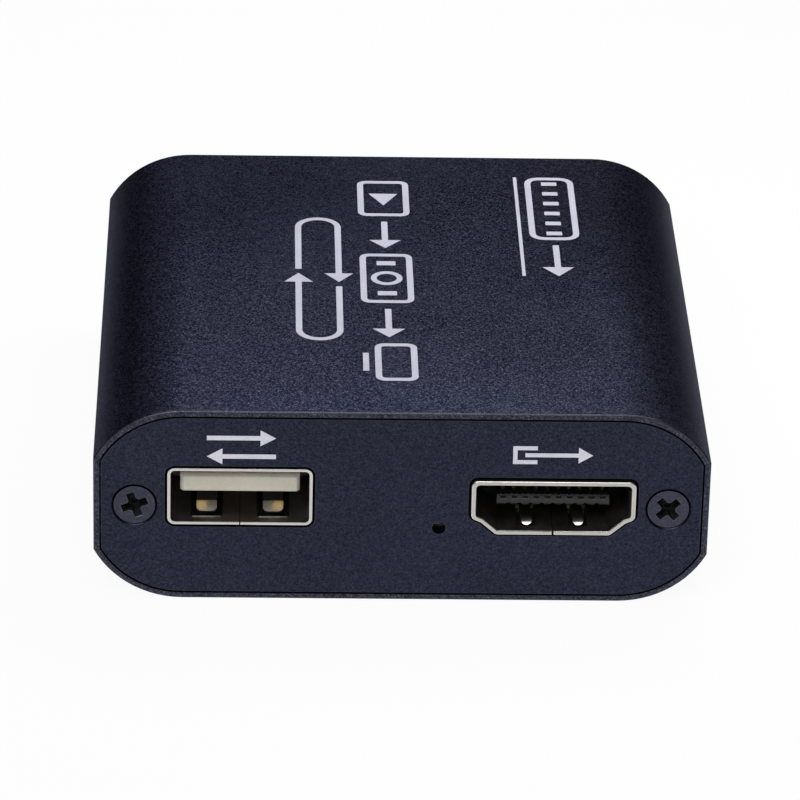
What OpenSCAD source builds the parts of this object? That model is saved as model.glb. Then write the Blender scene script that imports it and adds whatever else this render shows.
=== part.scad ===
// Video capture box: an extruded aluminium shell closed by two screwed end panels.
// One circuit board slides in grooves along the shell and carries every socket and chip.
// +X is to the right seen from the front, +Y runs to the back and +Z is up.
// The origin lies under the middle of the shell, on the surface that it stands on.

/* [Shell] */
// Width of the shell across its flat sides
body_w = 55.6; // [53:0.1:62]
// Length of the shell from the front rim to the rear rim
body_l = 56.4; // [52:0.1:70]
// Height of the shell
body_h = 19; // [17.6:0.1:24]
// Radius of the outer corner arcs
corner_r = 9; // [8.5:0.1:10]
// Distance from the side at which each corner arc begins
corner_in = 8; // [7:0.1:8.5]
// Wall of the extrusion
wall = 1.2; // [1.1:0.05:1.5]
// Wall left round an end panel, where the end of the shell is rebated
rim = 0.55; // [0.4:0.05:0.75]

/* [End panels] */
// Thickness of an end panel, which sits flush in the rebate
panel_t = 1.2; // [1:0.1:1.6]
// Gap between the edge of a panel and the rim round it
panel_gap = 0.15; // [0.1:0.05:0.25]
// Gap between a panel's cut-out and the socket that it lets through
port_clear = 0.2; // [0.1:0.05:0.4]
// Diameter of the status light's hole
light_hole_d = 1.2; // [0.8:0.1:2]

/* [Screws] */
// Thread diameter of the panel screws
screw_d = 2; // [1.8:0.1:2.5]
// Length of a screw under its head
screw_len = 6; // [4:0.5:10]
// Diameter of the countersunk head
head_d = 3.9; // [3.4:0.1:4.4]
// Depth of the head's face below the panel's face
head_sink = 0.04; // [0:0.02:0.15]
// Radial gap between the head and its countersink
seat_gap = 0.15; // [0.05:0.01:0.2]
// Distance of a screw's axis from the side of the shell
screw_side = 3.7; // [3.4:0.1:4.2]
// Wall of the screw channel inside the shell
boss_wall = 1.25; // [1:0.05:1.5]
// Radial gap between a screw and its channel
screw_clear = 0.05; // [0.02:0.01:0.1]
// Width of the slit along each screw channel
slit_w = 0.7; // [0.4:0.1:1]

/* [Circuit board] */
// Thickness of the board
board_t = 1.6; // [1.2:0.1:2]
// Space between the screw channels and the board's top face
board_under = 0.4; // [0.3:0.05:0.8]
// Gap above and below the board in its grooves
groove_gap = 0.1; // [0.05:0.05:0.2]
// Depth of the grooves, measured in from the shell's wall
groove_d = 1.9; // [1.5:0.1:2.4]
// Thickness of the rails that form the grooves
rail_t = 1; // [0.8:0.1:1.3]
// Gap between each side of the board and the shell's wall
board_side = 0.3; // [0.1:0.05:0.5]
// Gap between each end of the board and the panel
board_end = 0.2; // [0.1:0.05:0.5]
// Space between a screw channel and the socket beside it
port_gap = 0.65; // [0.5:0.05:1.5]

/* [Data socket] */
// Width of the data socket's opening
data_w = 12.5; // [12.4:0.05:12.7]
// Height of the data socket's opening
data_h = 5.12; // [5.05:0.01:5.3]
// Thickness of the sheet that the shell is folded from
data_sheet = 0.3; // [0.25:0.01:0.4]
// Inner corner radius of the opening
data_r = 0.4; // [0.3:0.05:0.6]
// Length of the data socket from its mouth
data_len = 14; // [13:0.1:15]
// Depth of the opening down to the insulator
data_cavity = 8.9; // [8.5:0.1:9.5]
// Height of the shell's underside above the board
data_lift = 0.75; // [0.5:0.05:1]
// Width of the contact tongue
data_tongue_w = 10.8; // [10:0.1:11.2]
// Thickness of the contact tongue
data_tongue_t = 1.84; // [1.7:0.02:2]
// Height of the tongue's underside above the floor of the opening
data_tongue_up = 2.73; // [2.6:0.01:2.8]
// Distance of the tongue's tip behind the mouth
data_tongue_set = 0.8; // [0.4:0.1:1.5]
// Width of a data contact
data_contact_w = 1; // [0.8:0.05:1.2]

/* [Video sockets] */
// Width of a video socket's opening
video_w = 14; // [13.9:0.05:14.2]
// Height of a video socket's opening
video_h = 4.55; // [4.5:0.01:4.7]
// Width of the opening's floor between its slopes
video_floor_w = 10; // [9.6:0.1:10.4]
// Height of the slopes beside the floor
video_slope_h = 1.15; // [1:0.05:1.25]
// Height of the shoulders where the slopes meet the sides
video_shoulder_h = 1.45; // [1.35:0.05:1.6]
// Width of a shoulder
video_shoulder_w = 0.7; // [0.5:0.05:0.9]
// Thickness of the sheet that the shell is folded from
video_sheet = 0.45; // [0.3:0.05:0.5]
// Length of a video socket from its mouth
video_len = 11.2; // [10.5:0.1:12]
// Depth of the opening down to the insulator
video_cavity = 6.3; // [6:0.1:7]
// Height of the shell's underside above the board
video_lift = 0.1; // [0.05:0.05:0.3]
// How far a video socket stands out of its panel
video_proud = 0.3; // [0:0.05:0.5]
// Width of the contact tongue
video_tongue_w = 10.2; // [10:0.1:10.8]
// Thickness of the contact tongue
video_tongue_t = 1.05; // [0.9:0.05:1.2]
// Height of the tongue's underside above the floor of the opening
video_tongue_up = 1.95; // [1.8:0.05:2.1]
// Distance of the tongue's tip behind the mouth
video_tongue_set = 1.2; // [0.8:0.1:1.6]
// Width of a video contact
video_contact_w = 0.32; // [0.25:0.01:0.4]

/* [Board parts] */
// Side of the capture chip's square body
capture_w = 7; // [6:0.5:8]
// Thickness of the capture chip's body
capture_t = 1.4; // [1:0.1:1.6]
// Leads along each side of the capture chip
capture_leads = 12; // [8:1:12]
// Side of the splitter chip's square body
splitter_w = 9; // [7:0.5:10]
// Thickness of the splitter chip
splitter_t = 0.85; // [0.7:0.05:1]
// Diameter of a bulk capacitor's can
can_d = 6.3; // [5:0.1:6.5]
// Height of a bulk capacitor's can above its base
can_h = 4.6; // [4:0.1:6]
// Side of an inductor
inductor_w = 4; // [3:0.1:4.5]
// Height of an inductor
inductor_h = 2.1; // [1.5:0.1:3]
// Height of the status light
light_h = 1.2; // [1:0.1:1.6]
// Space between the status light and the video output beside it
light_gap = 2.85; // [2:0.05:4]

/* [Hidden] */
$fn = 48;
// Overlap that joins two volumes of one piece, or carries a cut past a face
eps = 0.01;

// Places of the shell's main features
front_y = -body_l / 2;
rear_y = body_l / 2;
arc_x = body_w / 2 - corner_in;
screw_x = body_w / 2 - screw_side;
screw_z = body_h / 2;
bore_r = screw_d / 2 + screw_clear;
boss_r = bore_r + boss_wall;
// The head's cone ends a little short of the panel's back
head_floor = 0.17;
head_h = panel_t - head_sink - head_floor;

// Half the clear width between the shell's walls at height z
function inner_half(z) =
  let (
    drop = max(0, corner_r - z, z - body_h + corner_r),
    r = corner_r - wall
  )
  min(body_w / 2 - wall, arc_x + sqrt(max(0, r * r - drop * drop)));

// Places of the board
board_top = screw_z - boss_r - board_under;
board_z = board_top - board_t;
board_half = inner_half(board_z) - board_side;
board_front = front_y + panel_t + board_end;
board_rear = rear_y - panel_t - board_end;

// Places of the sockets; each z is the floor of the opening
data_x = -(screw_x - boss_r - port_gap - data_w / 2 - data_sheet);
data_z = board_top + data_lift + data_sheet;
video_out_x = screw_x - boss_r - port_gap - video_w / 2 - video_sheet;
video_in_x = 0;
video_z = board_top + video_lift + video_sheet;
light_x = video_out_x - video_w / 2 - video_sheet - light_gap;
light_z = board_top + light_h / 2;

// Data socket details: contact places, legs, tails and floor springs
data_pitches = [-3.5, -1, 1, 3.5];
data_groove_d = 0.7;
data_tongue_nose = 0.45;
data_tongue_cut = 0.3;
data_contact_t = 0.25;
data_leg_y = 10.2;
data_leg_w = 2.8;
data_tail_w = 0.6;
data_spring_x = 3;
data_spring_w = 1.85;
data_window_w = 2.9;
data_window = [1.15, 6.8];
// Side view of a floor spring: depth behind the mouth, height above the floor
data_spring = [
  [7.6, 0], [6.7, 0], [2.9, 1], [2.3, 1], [1.3, 0.42], [1.43, 0.2], [2.35, 0.75], [2.85, 0.75],
  [6.6, -data_sheet], [7.6, -data_sheet]
];

// Video socket details: contact places, legs, tails and floor springs
video_pitch = 1;
video_upper_count = 10;
video_lower_count = 9;
video_contact_t = 0.15;
video_groove_d = 0.1;
video_tail = 1;
video_tip = 1.6;
video_nose = 0.25;
video_slot_w = 0.5;
video_slot_d = 0.32;
video_back_gap = 0.1;
video_leg_ys = [3.3, 8.6];
video_leg_w = 1.1;
video_spring_x = 2.35;
video_spring_w = 1;
video_window_w = 1.7;
video_window = [0.9, 5.2];
video_spring = [
  [5.9, 0], [5.1, 0], [2.1, 0.55], [1.7, 0.55], [1.05, 0.22], [1.14, 0.05], [1.75, 0.35], [2.05, 0.35],
  [5, -video_sheet], [5.9, -video_sheet]
];
// Radius of the folds in a video socket's sheet, inside and outside
video_r_in = 0.35;
video_r_out = 0.6;

// Folded sheet: width of the butt seam, length of legs below the board, play of legs and tails
seam_w = 0.08;
leg_below = 0.9;
leg_play = 0.2;
hole_play = 0.15;
// Spring tongue pressed out of the top of a shell: width, start, end and slit
top_tab_w = 2;
top_tab = [2, 6];
top_tab_slit = 0.25;

// Panel screw details
tip_h = 0.8;
tip_r = 0.4;
// Cross recess: span at the face and at the floor, width and depth of an arm, and its round core
recess_span = 2.5;
recess_floor = 1.5;
recess_w = 0.7;
recess_d = 0.9;
recess_core_r = 0.66;
recess_core_tip_r = 0.2;

// Sizes of the small board parts
lead_pitch = 0.5;
lead_w = 0.22;
lead_t = 0.15;
lead_reach = 1;
chip_stand = 0.1;
memory_size = [3.9, 4.9, 1.5];
memory_pitch = 1.27;
memory_lead_w = 0.42;
memory_lead_reach = 1.05;
memory_lead_rows = 4;
regulator_size = [6.5, 3.5, 1.6];
regulator_lead_ws = [0.7, 0.7, 0.7, 3];
regulator_lead_xs = [-2.3, 0, 2.3, 0];
regulator_lead_t = 0.25;
regulator_lead_reach = 1.7;
can_base_w = 6.6;
can_base_h = 0.8;
can_base_cut = 1.2;
can_base_foot = 0.1;
can_groove = 0.35;
can_groove_z = [0.5, 0.8, 1.1, 1.4];
can_edge = 0.3;
inductor_cut = 0.5;
crystal_size = [2.5, 3.2, 0.75];
surge_size = [2.5, 1, 0.5];
capacitor_size = [1.6, 0.8, 0.8];
resistor_size = [1.6, 0.8, 0.45];
light_w = 1.7;
light_d = 1;
light_lens_r = 0.45;
light_lens_d = 0.15;

// Places of the chips: the capture chip keeps to the data socket, the splitter to the video output
capture_at = [data_x + 4.1, -4.2];
capture_rear = capture_at[1] + capture_w / 2 + lead_reach;
capture_right = capture_at[0] + capture_w / 2 + lead_reach;
memory_at = [capture_at[0] - 3, capture_rear + 4.7];
splitter_at = [video_out_x - 4.7, 1.5];
splitter_rear = splitter_at[1] + splitter_w / 2;
splitter_front = splitter_at[1] - splitter_w / 2;
splitter_left = splitter_at[0] - splitter_w / 2;
// Each crystal stands beside its chip
crystal_gap = 1;
crystal_front = 2.3;
crystal_right = 0.5;
crystal_back = 4;
crystal_sites = [
  [capture_right + crystal_gap + crystal_size[0] / 2, capture_at[1] - crystal_front],
  [splitter_at[0] + crystal_right, splitter_rear + crystal_back]
];
// Inductors stand midway between the two chips, one behind the other
inductor_at = [(capture_right + splitter_left) / 2, splitter_at[1] + 1];
inductor_step = 5.3;
// Regulators and bulk capacitors: distance in from a rear corner of the board, and step between the two
regulator_in = [10, 5.3];
regulator_step = 8.3;
can_in = [10.8, 4.6];
can_step = 7.6;
// Surge arrays behind the video sockets: distance from the panel's face, and offsets from the middle
surge_back = 14.6;
surge_xs = [-3.75, 3.75];
// Clear width between the two front sockets, and the step of a row of four spread over it
between_from = data_x + data_w / 2 + data_sheet;
between_w = video_out_x - video_w / 2 - video_sheet - between_from;
between_step = between_w / 5;
// Rows of small parts: x, y, count, step along x, turn
row_step = 2.4;
pair_step = 2.2;
chip_row_gap = 1.9;
capacitor_rows = [
  [data_x - 0.9, front_y + data_len + 2.6, 5, row_step, 0],
  [capture_at[0] - 5.5, capture_rear + 1.1, 5, row_step, 90],
  [splitter_at[0] - 5, splitter_front - 3, 5, row_step, 90],
  [splitter_left + 0.6, splitter_rear + chip_row_gap, 2, pair_step, 0]
];
resistor_rows = [
  [between_from + between_step, front_y + data_len - 1.8, 4, between_step, 90],
  [between_from + between_step, front_y + data_len - 5.3, 4, between_step, 90],
  [video_out_x - 5.1, front_y + video_len + 6.5, 5, row_step, 90],
  [splitter_at[0] + 5.8, splitter_rear + chip_row_gap, 2, pair_step, 90]
];

// Flat helpers

// Outward normal of the edge from a to b of an outline that runs anticlockwise
function edge_normal(a, b) = let (v = b - a) [v[1], -v[0]] / norm(v);

// Outline moved outwards by d, or inwards where d is negative
function grown(points, d) = [
  for (i = [0 : len(points) - 1])
    let (
      n = edge_normal(points[(i + len(points) - 1) % len(points)], points[i]),
      m = edge_normal(points[i], points[(i + 1) % len(points)])
    )
    points[i] + d * (n + m) / (1 + n * m)
];

// Outline with an arc of radius r at every corner
function filleted(points, r, steps = 4) = [
  for (i = [0 : len(points) - 1])
    let (
      b = points[i],
      u = (points[(i + len(points) - 1) % len(points)] - b),
      v = (points[(i + 1) % len(points)] - b),
      un = u / norm(u),
      vn = v / norm(v),
      half = acos(un * vn) / 2,
      run = r / tan(half),
      centre = b + (un + vn) / norm(un + vn) * r / sin(half),
      from = b + un * run - centre,
      to = b + vn * run - centre,
      start = atan2(from[1], from[0]),
      turn = atan2(to[1], to[0]) - start,
      sweep = turn > 180 ? turn - 360 : turn < -180 ? turn + 360 : turn
    )
    for (k = [0 : steps])
      centre + r * [cos(start + sweep * k / steps), sin(start + sweep * k / steps)]
];

// Opening of a video socket, standing on its floor
video_opening = [
  [-video_floor_w / 2, 0], [video_floor_w / 2, 0],
  [video_w / 2 - video_shoulder_w, video_slope_h], [video_w / 2, video_shoulder_h],
  [video_w / 2, video_h], [-video_w / 2, video_h],
  [-video_w / 2, video_shoulder_h], [-video_w / 2 + video_shoulder_w, video_slope_h]
];

// Cross-section of the shell, moved inwards from its outside
module body_outline(inset) {
  half = body_w / 2 - inset;
  difference() {
    translate([-half, inset]) square([2 * half, body_h - 2 * inset]);
    for (side = [-1, 1], level = [-1, 1])
      translate([side * arc_x, body_h / 2 + level * (body_h / 2 - corner_r)])
        to_corner(side, level)
          difference() {
            square(2 * corner_r);
            circle(corner_r - inset, $fn = 96);
          }
  }
}

// Turns a corner cut drawn for the upper right into one of the four corners
module to_corner(side, level) {
  mirror([side < 0 ? 1 : 0, 0]) mirror([0, level < 0 ? 1 : 0]) children();
}

// Rectangle with round corners, centred in x and standing on y = 0
module round_rect(w, h, r) {
  translate([-w / 2 + r, 0]) square([w - 2 * r, h]);
  translate([-w / 2, r]) square([w, h - 2 * r]);
  for (x = [-w / 2 + r, w / 2 - r], y = [r, h - r]) translate([x, y]) circle(r);
}

// Solid from an outline in x and z that runs from y0 to y1
module along_y(y0, y1) {
  translate([0, y1, 0]) rotate([90, 0, 0]) linear_extrude(y1 - y0) children();
}

// Solid from a side view in y and z, centred on x
module across_x(x, w) {
  translate([x - w / 2, 0, 0]) rotate([90, 0, 90]) linear_extrude(w) children();
}

// Box given by its middle in x and y, its size, and its lowest z
module block(at, size, z) {
  translate([at[0] - size[0] / 2, at[1] - size[1] / 2, z]) cube(size);
}

// Puts its children, drawn for the front of the box, at the front or the rear
module at_end(rear) {
  rotate([0, 0, rear ? 180 : 0]) children();
}

// Shell

// Screw channel and board groove beside one wall of the shell
module side_rails(side) {
  mirror([side < 0 ? 1 : 0, 0]) {
    translate([screw_x, screw_z]) circle(boss_r);
    translate([screw_x, screw_z - boss_r * 0.7]) square([screw_side, boss_r * 1.4]);
    for (z = [board_z - groove_gap - rail_t, board_top + groove_gap])
      translate([inner_half(board_z) - groove_d, z]) square([groove_d + wall, rail_t]);
  }
}

module shell_section() {
  difference() {
    union() {
      difference() {
        body_outline(0);
        body_outline(wall);
      }
      intersection() {
        body_outline(wall / 2);
        union() {
          side_rails(-1);
          side_rails(1);
        }
      }
    }
    for (side = [-1, 1]) {
      translate([side * screw_x, screw_z]) circle(bore_r);
      translate([side * (screw_x - boss_r / 2) - boss_r / 2, screw_z - slit_w / 2]) square([boss_r, slit_w]);
    }
  }
}

module shell() {
  color([0.07, 0.075, 0.1])
    difference() {
      along_y(front_y, rear_y) shell_section();
      along_y(front_y - eps, front_y + panel_t) body_outline(rim);
      along_y(rear_y - panel_t, rear_y + eps) body_outline(rim);
    }
}

// End panels

module screw_hole(x) {
  translate([x, front_y, screw_z]) rotate([-90, 0, 0]) {
    translate([0, 0, -eps]) cylinder(r = head_d / 2 + seat_gap, h = head_sink + 2 * eps);
    translate([0, 0, head_sink])
      cylinder(r1 = head_d / 2 + seat_gap, r2 = screw_d / 2 + seat_gap, h = head_h);
    cylinder(r = screw_d / 2 + seat_gap, h = panel_t + eps);
  }
}

// Cut-out for a video socket at x, through a panel drawn at the front
module video_cutout(x) {
  along_y(front_y - eps, front_y + panel_t + eps)
    translate([x, video_z])
      polygon(filleted(grown(video_opening, video_sheet + port_clear), video_r_out + port_clear));
}

module panel_blank() {
  difference() {
    along_y(front_y, front_y + panel_t) body_outline(rim + panel_gap);
    for (side = [-1, 1]) screw_hole(side * screw_x);
  }
}

module front_panel() {
  cut = data_sheet + port_clear;
  color([0.08, 0.09, 0.12])
    difference() {
      panel_blank();
      along_y(front_y - eps, front_y + panel_t + eps)
        translate([data_x, data_z - cut]) round_rect(data_w + 2 * cut, data_h + 2 * cut, data_r + cut);
      video_cutout(video_out_x);
      translate([light_x, front_y - eps, light_z]) rotate([-90, 0, 0])
        cylinder(d = light_hole_d, h = panel_t + 2 * eps);
    }
}

module rear_panel() {
  color([0.08, 0.09, 0.12])
    at_end(true)
      difference() {
        panel_blank();
        video_cutout(video_in_x);
      }
}

// Countersunk screw drawn at the front, with its cross recess turned by an angle
module panel_screw(x, turn) {
  color([0.1, 0.1, 0.13])
    translate([x, front_y + head_sink, screw_z]) rotate([-90, 0, 0])
      difference() {
        union() {
          cylinder(r1 = head_d / 2, r2 = screw_d / 2, h = head_h);
          cylinder(d = screw_d, h = head_h + screw_len - tip_h);
          translate([0, 0, head_h + screw_len - tip_h]) cylinder(r1 = screw_d / 2, r2 = tip_r, h = tip_h);
        }
        rotate([0, 0, turn])
          for (a = [0, 90])
            rotate([90, 0, a]) translate([0, 0, -recess_w / 2])
              linear_extrude(recess_w)
                polygon([
                  [-recess_span / 2, -eps], [recess_span / 2, -eps],
                  [recess_floor / 2, recess_d], [-recess_floor / 2, recess_d]
                ]);
        translate([0, 0, -eps]) cylinder(r1 = recess_core_r, r2 = recess_core_tip_r, h = recess_d + 0.3);
      }
}

// Circuit board

module main_board() {
  color([0.05, 0.3, 0.16])
    difference() {
      translate([-board_half, board_front, board_z])
        cube([2 * board_half, board_rear - board_front, board_t]);
      // Slots for the data socket's legs and holes for its tails
      for (side = [-1, 1])
        board_slot(
          [data_x + side * (data_w + data_sheet) / 2, front_y + data_leg_y + data_leg_w / 2],
          [data_sheet, data_leg_w]
        );
      for (x = data_pitches)
        translate([data_x + x, front_y + data_len + data_contact_t / 2, board_z - eps])
          cylinder(r = data_tail_w / 2 + hole_play, h = board_t + 2 * eps, $fn = 24);
      // Slots for the legs of both video sockets
      for (rear = [false, true], side = [-1, 1], y = video_leg_ys)
        at_end(rear)
          board_slot(
            [
              (rear ? video_in_x : video_out_x) + side * (video_w + video_sheet) / 2,
              front_y - video_proud + y + video_leg_w / 2
            ],
            [video_sheet, video_leg_w]
          );
    }
}

module board_slot(at, size) {
  block(at, [size[0] + 2 * leg_play, size[1] + 2 * leg_play, board_t + 2 * eps], board_z - eps);
}

// Data socket, drawn with its mouth at y = 0 and its floor at z = 0

module data_place() {
  translate([data_x, front_y, data_z]) children();
}

// Slit on three sides of a spring tongue in the top of a shell
module top_tab_cut(x, top) {
  for (side = [-1, 1])
    translate([x + side * (top_tab_w + top_tab_slit) / 2 - top_tab_slit / 2, top_tab[0], top - 1])
      cube([top_tab_slit, top_tab[1] - top_tab[0], 2]);
  translate([x - top_tab_w / 2, top_tab[0], top - 1]) cube([top_tab_w, top_tab_slit, 2]);
}

module data_socket_shell() {
  color([0.78, 0.77, 0.74]) data_place() {
    difference() {
      along_y(0, data_len)
        translate([0, -data_sheet])
          round_rect(data_w + 2 * data_sheet, data_h + 2 * data_sheet, data_r + data_sheet);
      along_y(-eps, data_len + eps) round_rect(data_w, data_h, data_r);
      // Windows round the floor springs, the butt seam, and the open floor over the contact tails
      for (side = [-1, 1]) {
        translate([side * data_spring_x - data_window_w / 2, data_window[0], -data_sheet - eps])
          cube([data_window_w, data_window[1] - data_window[0], data_sheet + 2 * eps]);
        top_tab_cut(side * data_spring_x, data_h);
      }
      translate([-seam_w / 2, -eps, -data_sheet - eps]) cube([seam_w, data_len, data_sheet + 2 * eps]);
      translate([-data_w / 2 + data_r, data_cavity + eps, -data_sheet - eps])
        cube([data_w - 2 * data_r, data_len, data_sheet + 2 * eps]);
    }
    for (side = [-1, 1]) {
      across_x(side * data_spring_x, data_spring_w) polygon(data_spring);
      leg(side * (data_w + data_sheet) / 2, data_leg_y, [data_sheet, data_leg_w], data_z, data_r + data_sheet);
    }
  }
}

// Leg from a shell's side down through the board; rise is how far it runs up the side
module leg(x, y, size, floor_z, rise) {
  foot = board_z - leg_below - floor_z;
  translate([x - size[0] / 2, y, foot]) cube([size[0], size[1], rise - foot]);
}

module data_socket_insulator() {
  tongue_top = data_tongue_up + data_tongue_t;
  color([0.86, 0.84, 0.78]) data_place()
    difference() {
      union() {
        // Base inside the shell, and its foot on the board
        along_y(data_cavity, data_len) round_rect(data_w, data_h, data_r);
        translate([-data_w / 2 + data_r, data_cavity + eps, -data_sheet - data_lift])
          cube([data_w - 2 * data_r, data_len - data_cavity - eps, data_sheet + data_lift + data_r]);
        // Tongue, with its upper front edge and its front corners bevelled
        difference() {
          across_x(0, data_tongue_w)
            polygon([
              [data_tongue_set, data_tongue_up], [data_cavity + eps, data_tongue_up],
              [data_cavity + eps, tongue_top], [data_tongue_set + data_tongue_nose, tongue_top],
              [data_tongue_set, tongue_top - data_tongue_nose]
            ]);
          for (side = [-1, 1])
            translate([side * data_tongue_w / 2, data_tongue_set, data_tongue_up - eps])
              linear_extrude(data_tongue_t + 2 * eps)
                polygon(data_tongue_cut * [[-1, 0], [0, -1], [1, 0], [0, 1]]);
        }
      }
      // Grooves along the tongue and through the base, one for each contact
      for (x = data_pitches) {
        translate([x - data_contact_w / 2, data_tongue_set + 0.5, data_tongue_up - eps])
          cube([data_contact_w, data_cavity - data_tongue_set - 0.5 + eps, data_groove_d + eps]);
        translate([x - data_contact_w / 2, data_cavity - eps, data_tongue_up + data_groove_d - data_contact_t])
          cube([data_contact_w, data_len, data_contact_t]);
      }
    }
}

// Contact: a bowed beam under the tongue, a straight run through the base, and a tail through the board
module data_socket_contacts() {
  t = data_contact_t;
  top = data_tongue_up + data_groove_d;
  bow = data_tongue_up - 0.45;
  tip = data_tongue_set + 0.7;
  foot = board_z - leg_below - data_z;
  color([0.83, 0.7, 0.36]) data_place()
    for (x = data_pitches) {
      across_x(x, data_contact_w)
        polygon([
          [tip, top - t - 0.1], [tip + 0.9, bow + t], [tip + 1.6, bow + t], [data_cavity - 1.2, top],
          [data_len + t, top], [data_len + t, top - t], [data_cavity - 1.2 + 0.05, top - t],
          [tip + 1.7, bow], [tip + 0.8, bow],
          [tip - 0.15, top - 2 * t - 0.05]
        ]);
      across_x(x, data_tail_w)
        polygon([[data_len, top - t / 2], [data_len, foot], [data_len + t, foot], [data_len + t, top - t / 2]]);
    }
}

// Video sockets, drawn with the mouth at y = 0 and the floor at z = 0

module video_place(rear) {
  at_end(rear) translate([rear ? video_in_x : video_out_x, front_y - video_proud, video_z]) children();
}

module video_shell(rear) {
  color([0.76, 0.74, 0.68]) video_place(rear) {
    difference() {
      along_y(0, video_len) polygon(filleted(grown(video_opening, video_sheet), video_r_out));
      along_y(-eps, video_len + eps) polygon(filleted(video_opening, video_r_in));
      for (side = [-1, 1]) {
        translate([side * video_spring_x - video_window_w / 2, video_window[0], -video_sheet - eps])
          cube([video_window_w, video_window[1] - video_window[0], video_sheet + 2 * eps]);
        top_tab_cut(side * 2 * video_spring_x, video_h);
      }
      translate([-seam_w / 2, -eps, -video_sheet - eps]) cube([seam_w, video_cavity, video_sheet + 2 * eps]);
    }
    for (side = [-1, 1]) {
      across_x(side * video_spring_x, video_spring_w) polygon(video_spring);
      for (y = video_leg_ys)
        leg(
          side * (video_w + video_sheet) / 2, y, [video_sheet, video_leg_w], video_z,
          video_shoulder_h + video_r_out
        );
    }
  }
}

// Lengthwise places of the contacts in the upper and lower rows
function video_row(count) = [for (i = [0 : count - 1]) (i - (count - 1) / 2) * video_pitch];

video_upper_z = video_tongue_up + video_tongue_t - video_groove_d;
video_lower_z = video_tongue_up + video_groove_d - video_contact_t;

module video_insulator(rear) {
  channel_y = video_tongue_set + video_nose;
  tongue_top = video_tongue_up + video_tongue_t;
  color([0.05, 0.05, 0.06]) video_place(rear)
    difference() {
      union() {
        along_y(video_cavity, video_len) polygon(filleted(video_opening, video_r_in));
        // Tongue, with both front edges bevelled
        across_x(0, video_tongue_w)
          polygon([
            [video_tongue_set, video_tongue_up + video_nose], [video_tongue_set + video_nose, video_tongue_up],
            [video_cavity + eps, video_tongue_up], [video_cavity + eps, tongue_top],
            [video_tongue_set + video_nose, tongue_top], [video_tongue_set, tongue_top - video_nose]
          ]);
      }
      // Channels along both faces of the tongue and on through the base, each with a slot in the nose
      for (x = video_row(video_upper_count)) {
        translate([x - video_contact_w / 2, channel_y, video_upper_z])
          cube([video_contact_w, video_len, video_contact_t]);
        nose_slot(x, tongue_top);
      }
      for (x = video_row(video_lower_count)) {
        translate([x - video_contact_w / 2, channel_y, video_lower_z])
          cube([video_contact_w, video_len, video_contact_t]);
        nose_slot(x, video_tongue_up);
      }
    }
}

// Slot in the nose of a video socket's tongue, at its upper or lower face
module nose_slot(x, z) {
  translate([x - video_slot_w / 2, video_tongue_set - eps, z - video_slot_d])
    cube([video_slot_w, video_slot_d + eps, 2 * video_slot_d]);
}

// Contact: a flat beam on the tongue that runs out behind the base, down, and into a foot on the board
module video_contact(x, z) {
  t = video_contact_t;
  foot = -video_sheet - video_lift;
  tip = video_tongue_set + video_tip;
  back = video_len + video_back_gap;
  across_x(x, video_contact_w)
    polygon([
      [tip, z], [back, z], [back, foot], [back + video_tail, foot], [back + video_tail, foot + t],
      [back + t, foot + t], [back + t, z + t], [tip, z + t]
    ]);
}

module video_contacts(rear) {
  color([0.83, 0.7, 0.36]) video_place(rear) {
    for (x = video_row(video_upper_count)) video_contact(x, video_upper_z);
    for (x = video_row(video_lower_count)) video_contact(x, video_lower_z);
  }
}

// Chips and small parts on the board

// Gull-wing lead that leaves a chip's side at x = 0 and runs out along +X to a foot on the board
module gull_lead(reach, w, t, exit_z) {
  knee = reach * 0.45;
  rotate([90, 0, 0]) translate([0, 0, -w / 2]) linear_extrude(w)
    polygon([
      [0, exit_z], [knee - t, exit_z], [knee - t, 0], [reach, 0], [reach, t], [knee, t],
      [knee, exit_z + t], [0, exit_z + t]
    ]);
}

module capture_chip() {
  color([0.06, 0.06, 0.065]) block(capture_at, [capture_w, capture_w, capture_t], board_top + chip_stand);
}

module capture_chip_leads() {
  color([0.72, 0.72, 0.7])
    translate([capture_at[0], capture_at[1], board_top])
      for (turn = [0 : 90 : 270], i = [0 : capture_leads - 1])
        rotate([0, 0, turn]) translate([capture_w / 2, (i - (capture_leads - 1) / 2) * lead_pitch, 0])
          gull_lead(lead_reach, lead_w, lead_t, chip_stand + capture_t / 2);
}

module splitter_chip() {
  color([0.06, 0.06, 0.065]) block(splitter_at, [splitter_w, splitter_w, splitter_t], board_top);
}

module memory_chip() {
  color([0.06, 0.06, 0.065]) block(memory_at, memory_size, board_top + chip_stand);
}

module memory_chip_leads() {
  color([0.72, 0.72, 0.7])
    translate([memory_at[0], memory_at[1], board_top])
      for (turn = [0, 180], i = [0 : memory_lead_rows - 1])
        rotate([0, 0, turn]) translate([memory_size[0] / 2, (i - (memory_lead_rows - 1) / 2) * memory_pitch, 0])
          gull_lead(memory_lead_reach, memory_lead_w, lead_t, chip_stand + memory_size[2] / 2);
}

// Both regulators, one before the other at the left of the board's rear
module regulator_sites() {
  for (i = [0, 1])
    translate([regulator_in[0] - board_half, board_rear - regulator_in[1] - i * regulator_step, board_top])
      children();
}

module regulators() {
  color([0.06, 0.06, 0.065])
    regulator_sites() block([0, 0], regulator_size, chip_stand);
}

module regulator_leads() {
  color([0.72, 0.72, 0.7])
    regulator_sites()
      for (i = [0 : len(regulator_lead_xs) - 1])
        rotate([0, 0, i < 3 ? -90 : 90]) translate([regulator_size[1] / 2, regulator_lead_xs[i], 0])
          gull_lead(
            regulator_lead_reach, regulator_lead_ws[i], regulator_lead_t, chip_stand + regulator_size[2] / 2
          );
}

module inductors() {
  color([0.2, 0.2, 0.21])
    for (i = [0, 1])
      translate([inductor_at[0], inductor_at[1] + i * inductor_step, board_top])
        linear_extrude(inductor_h) cut_square(inductor_w, inductor_cut, inductor_cut);
}

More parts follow.
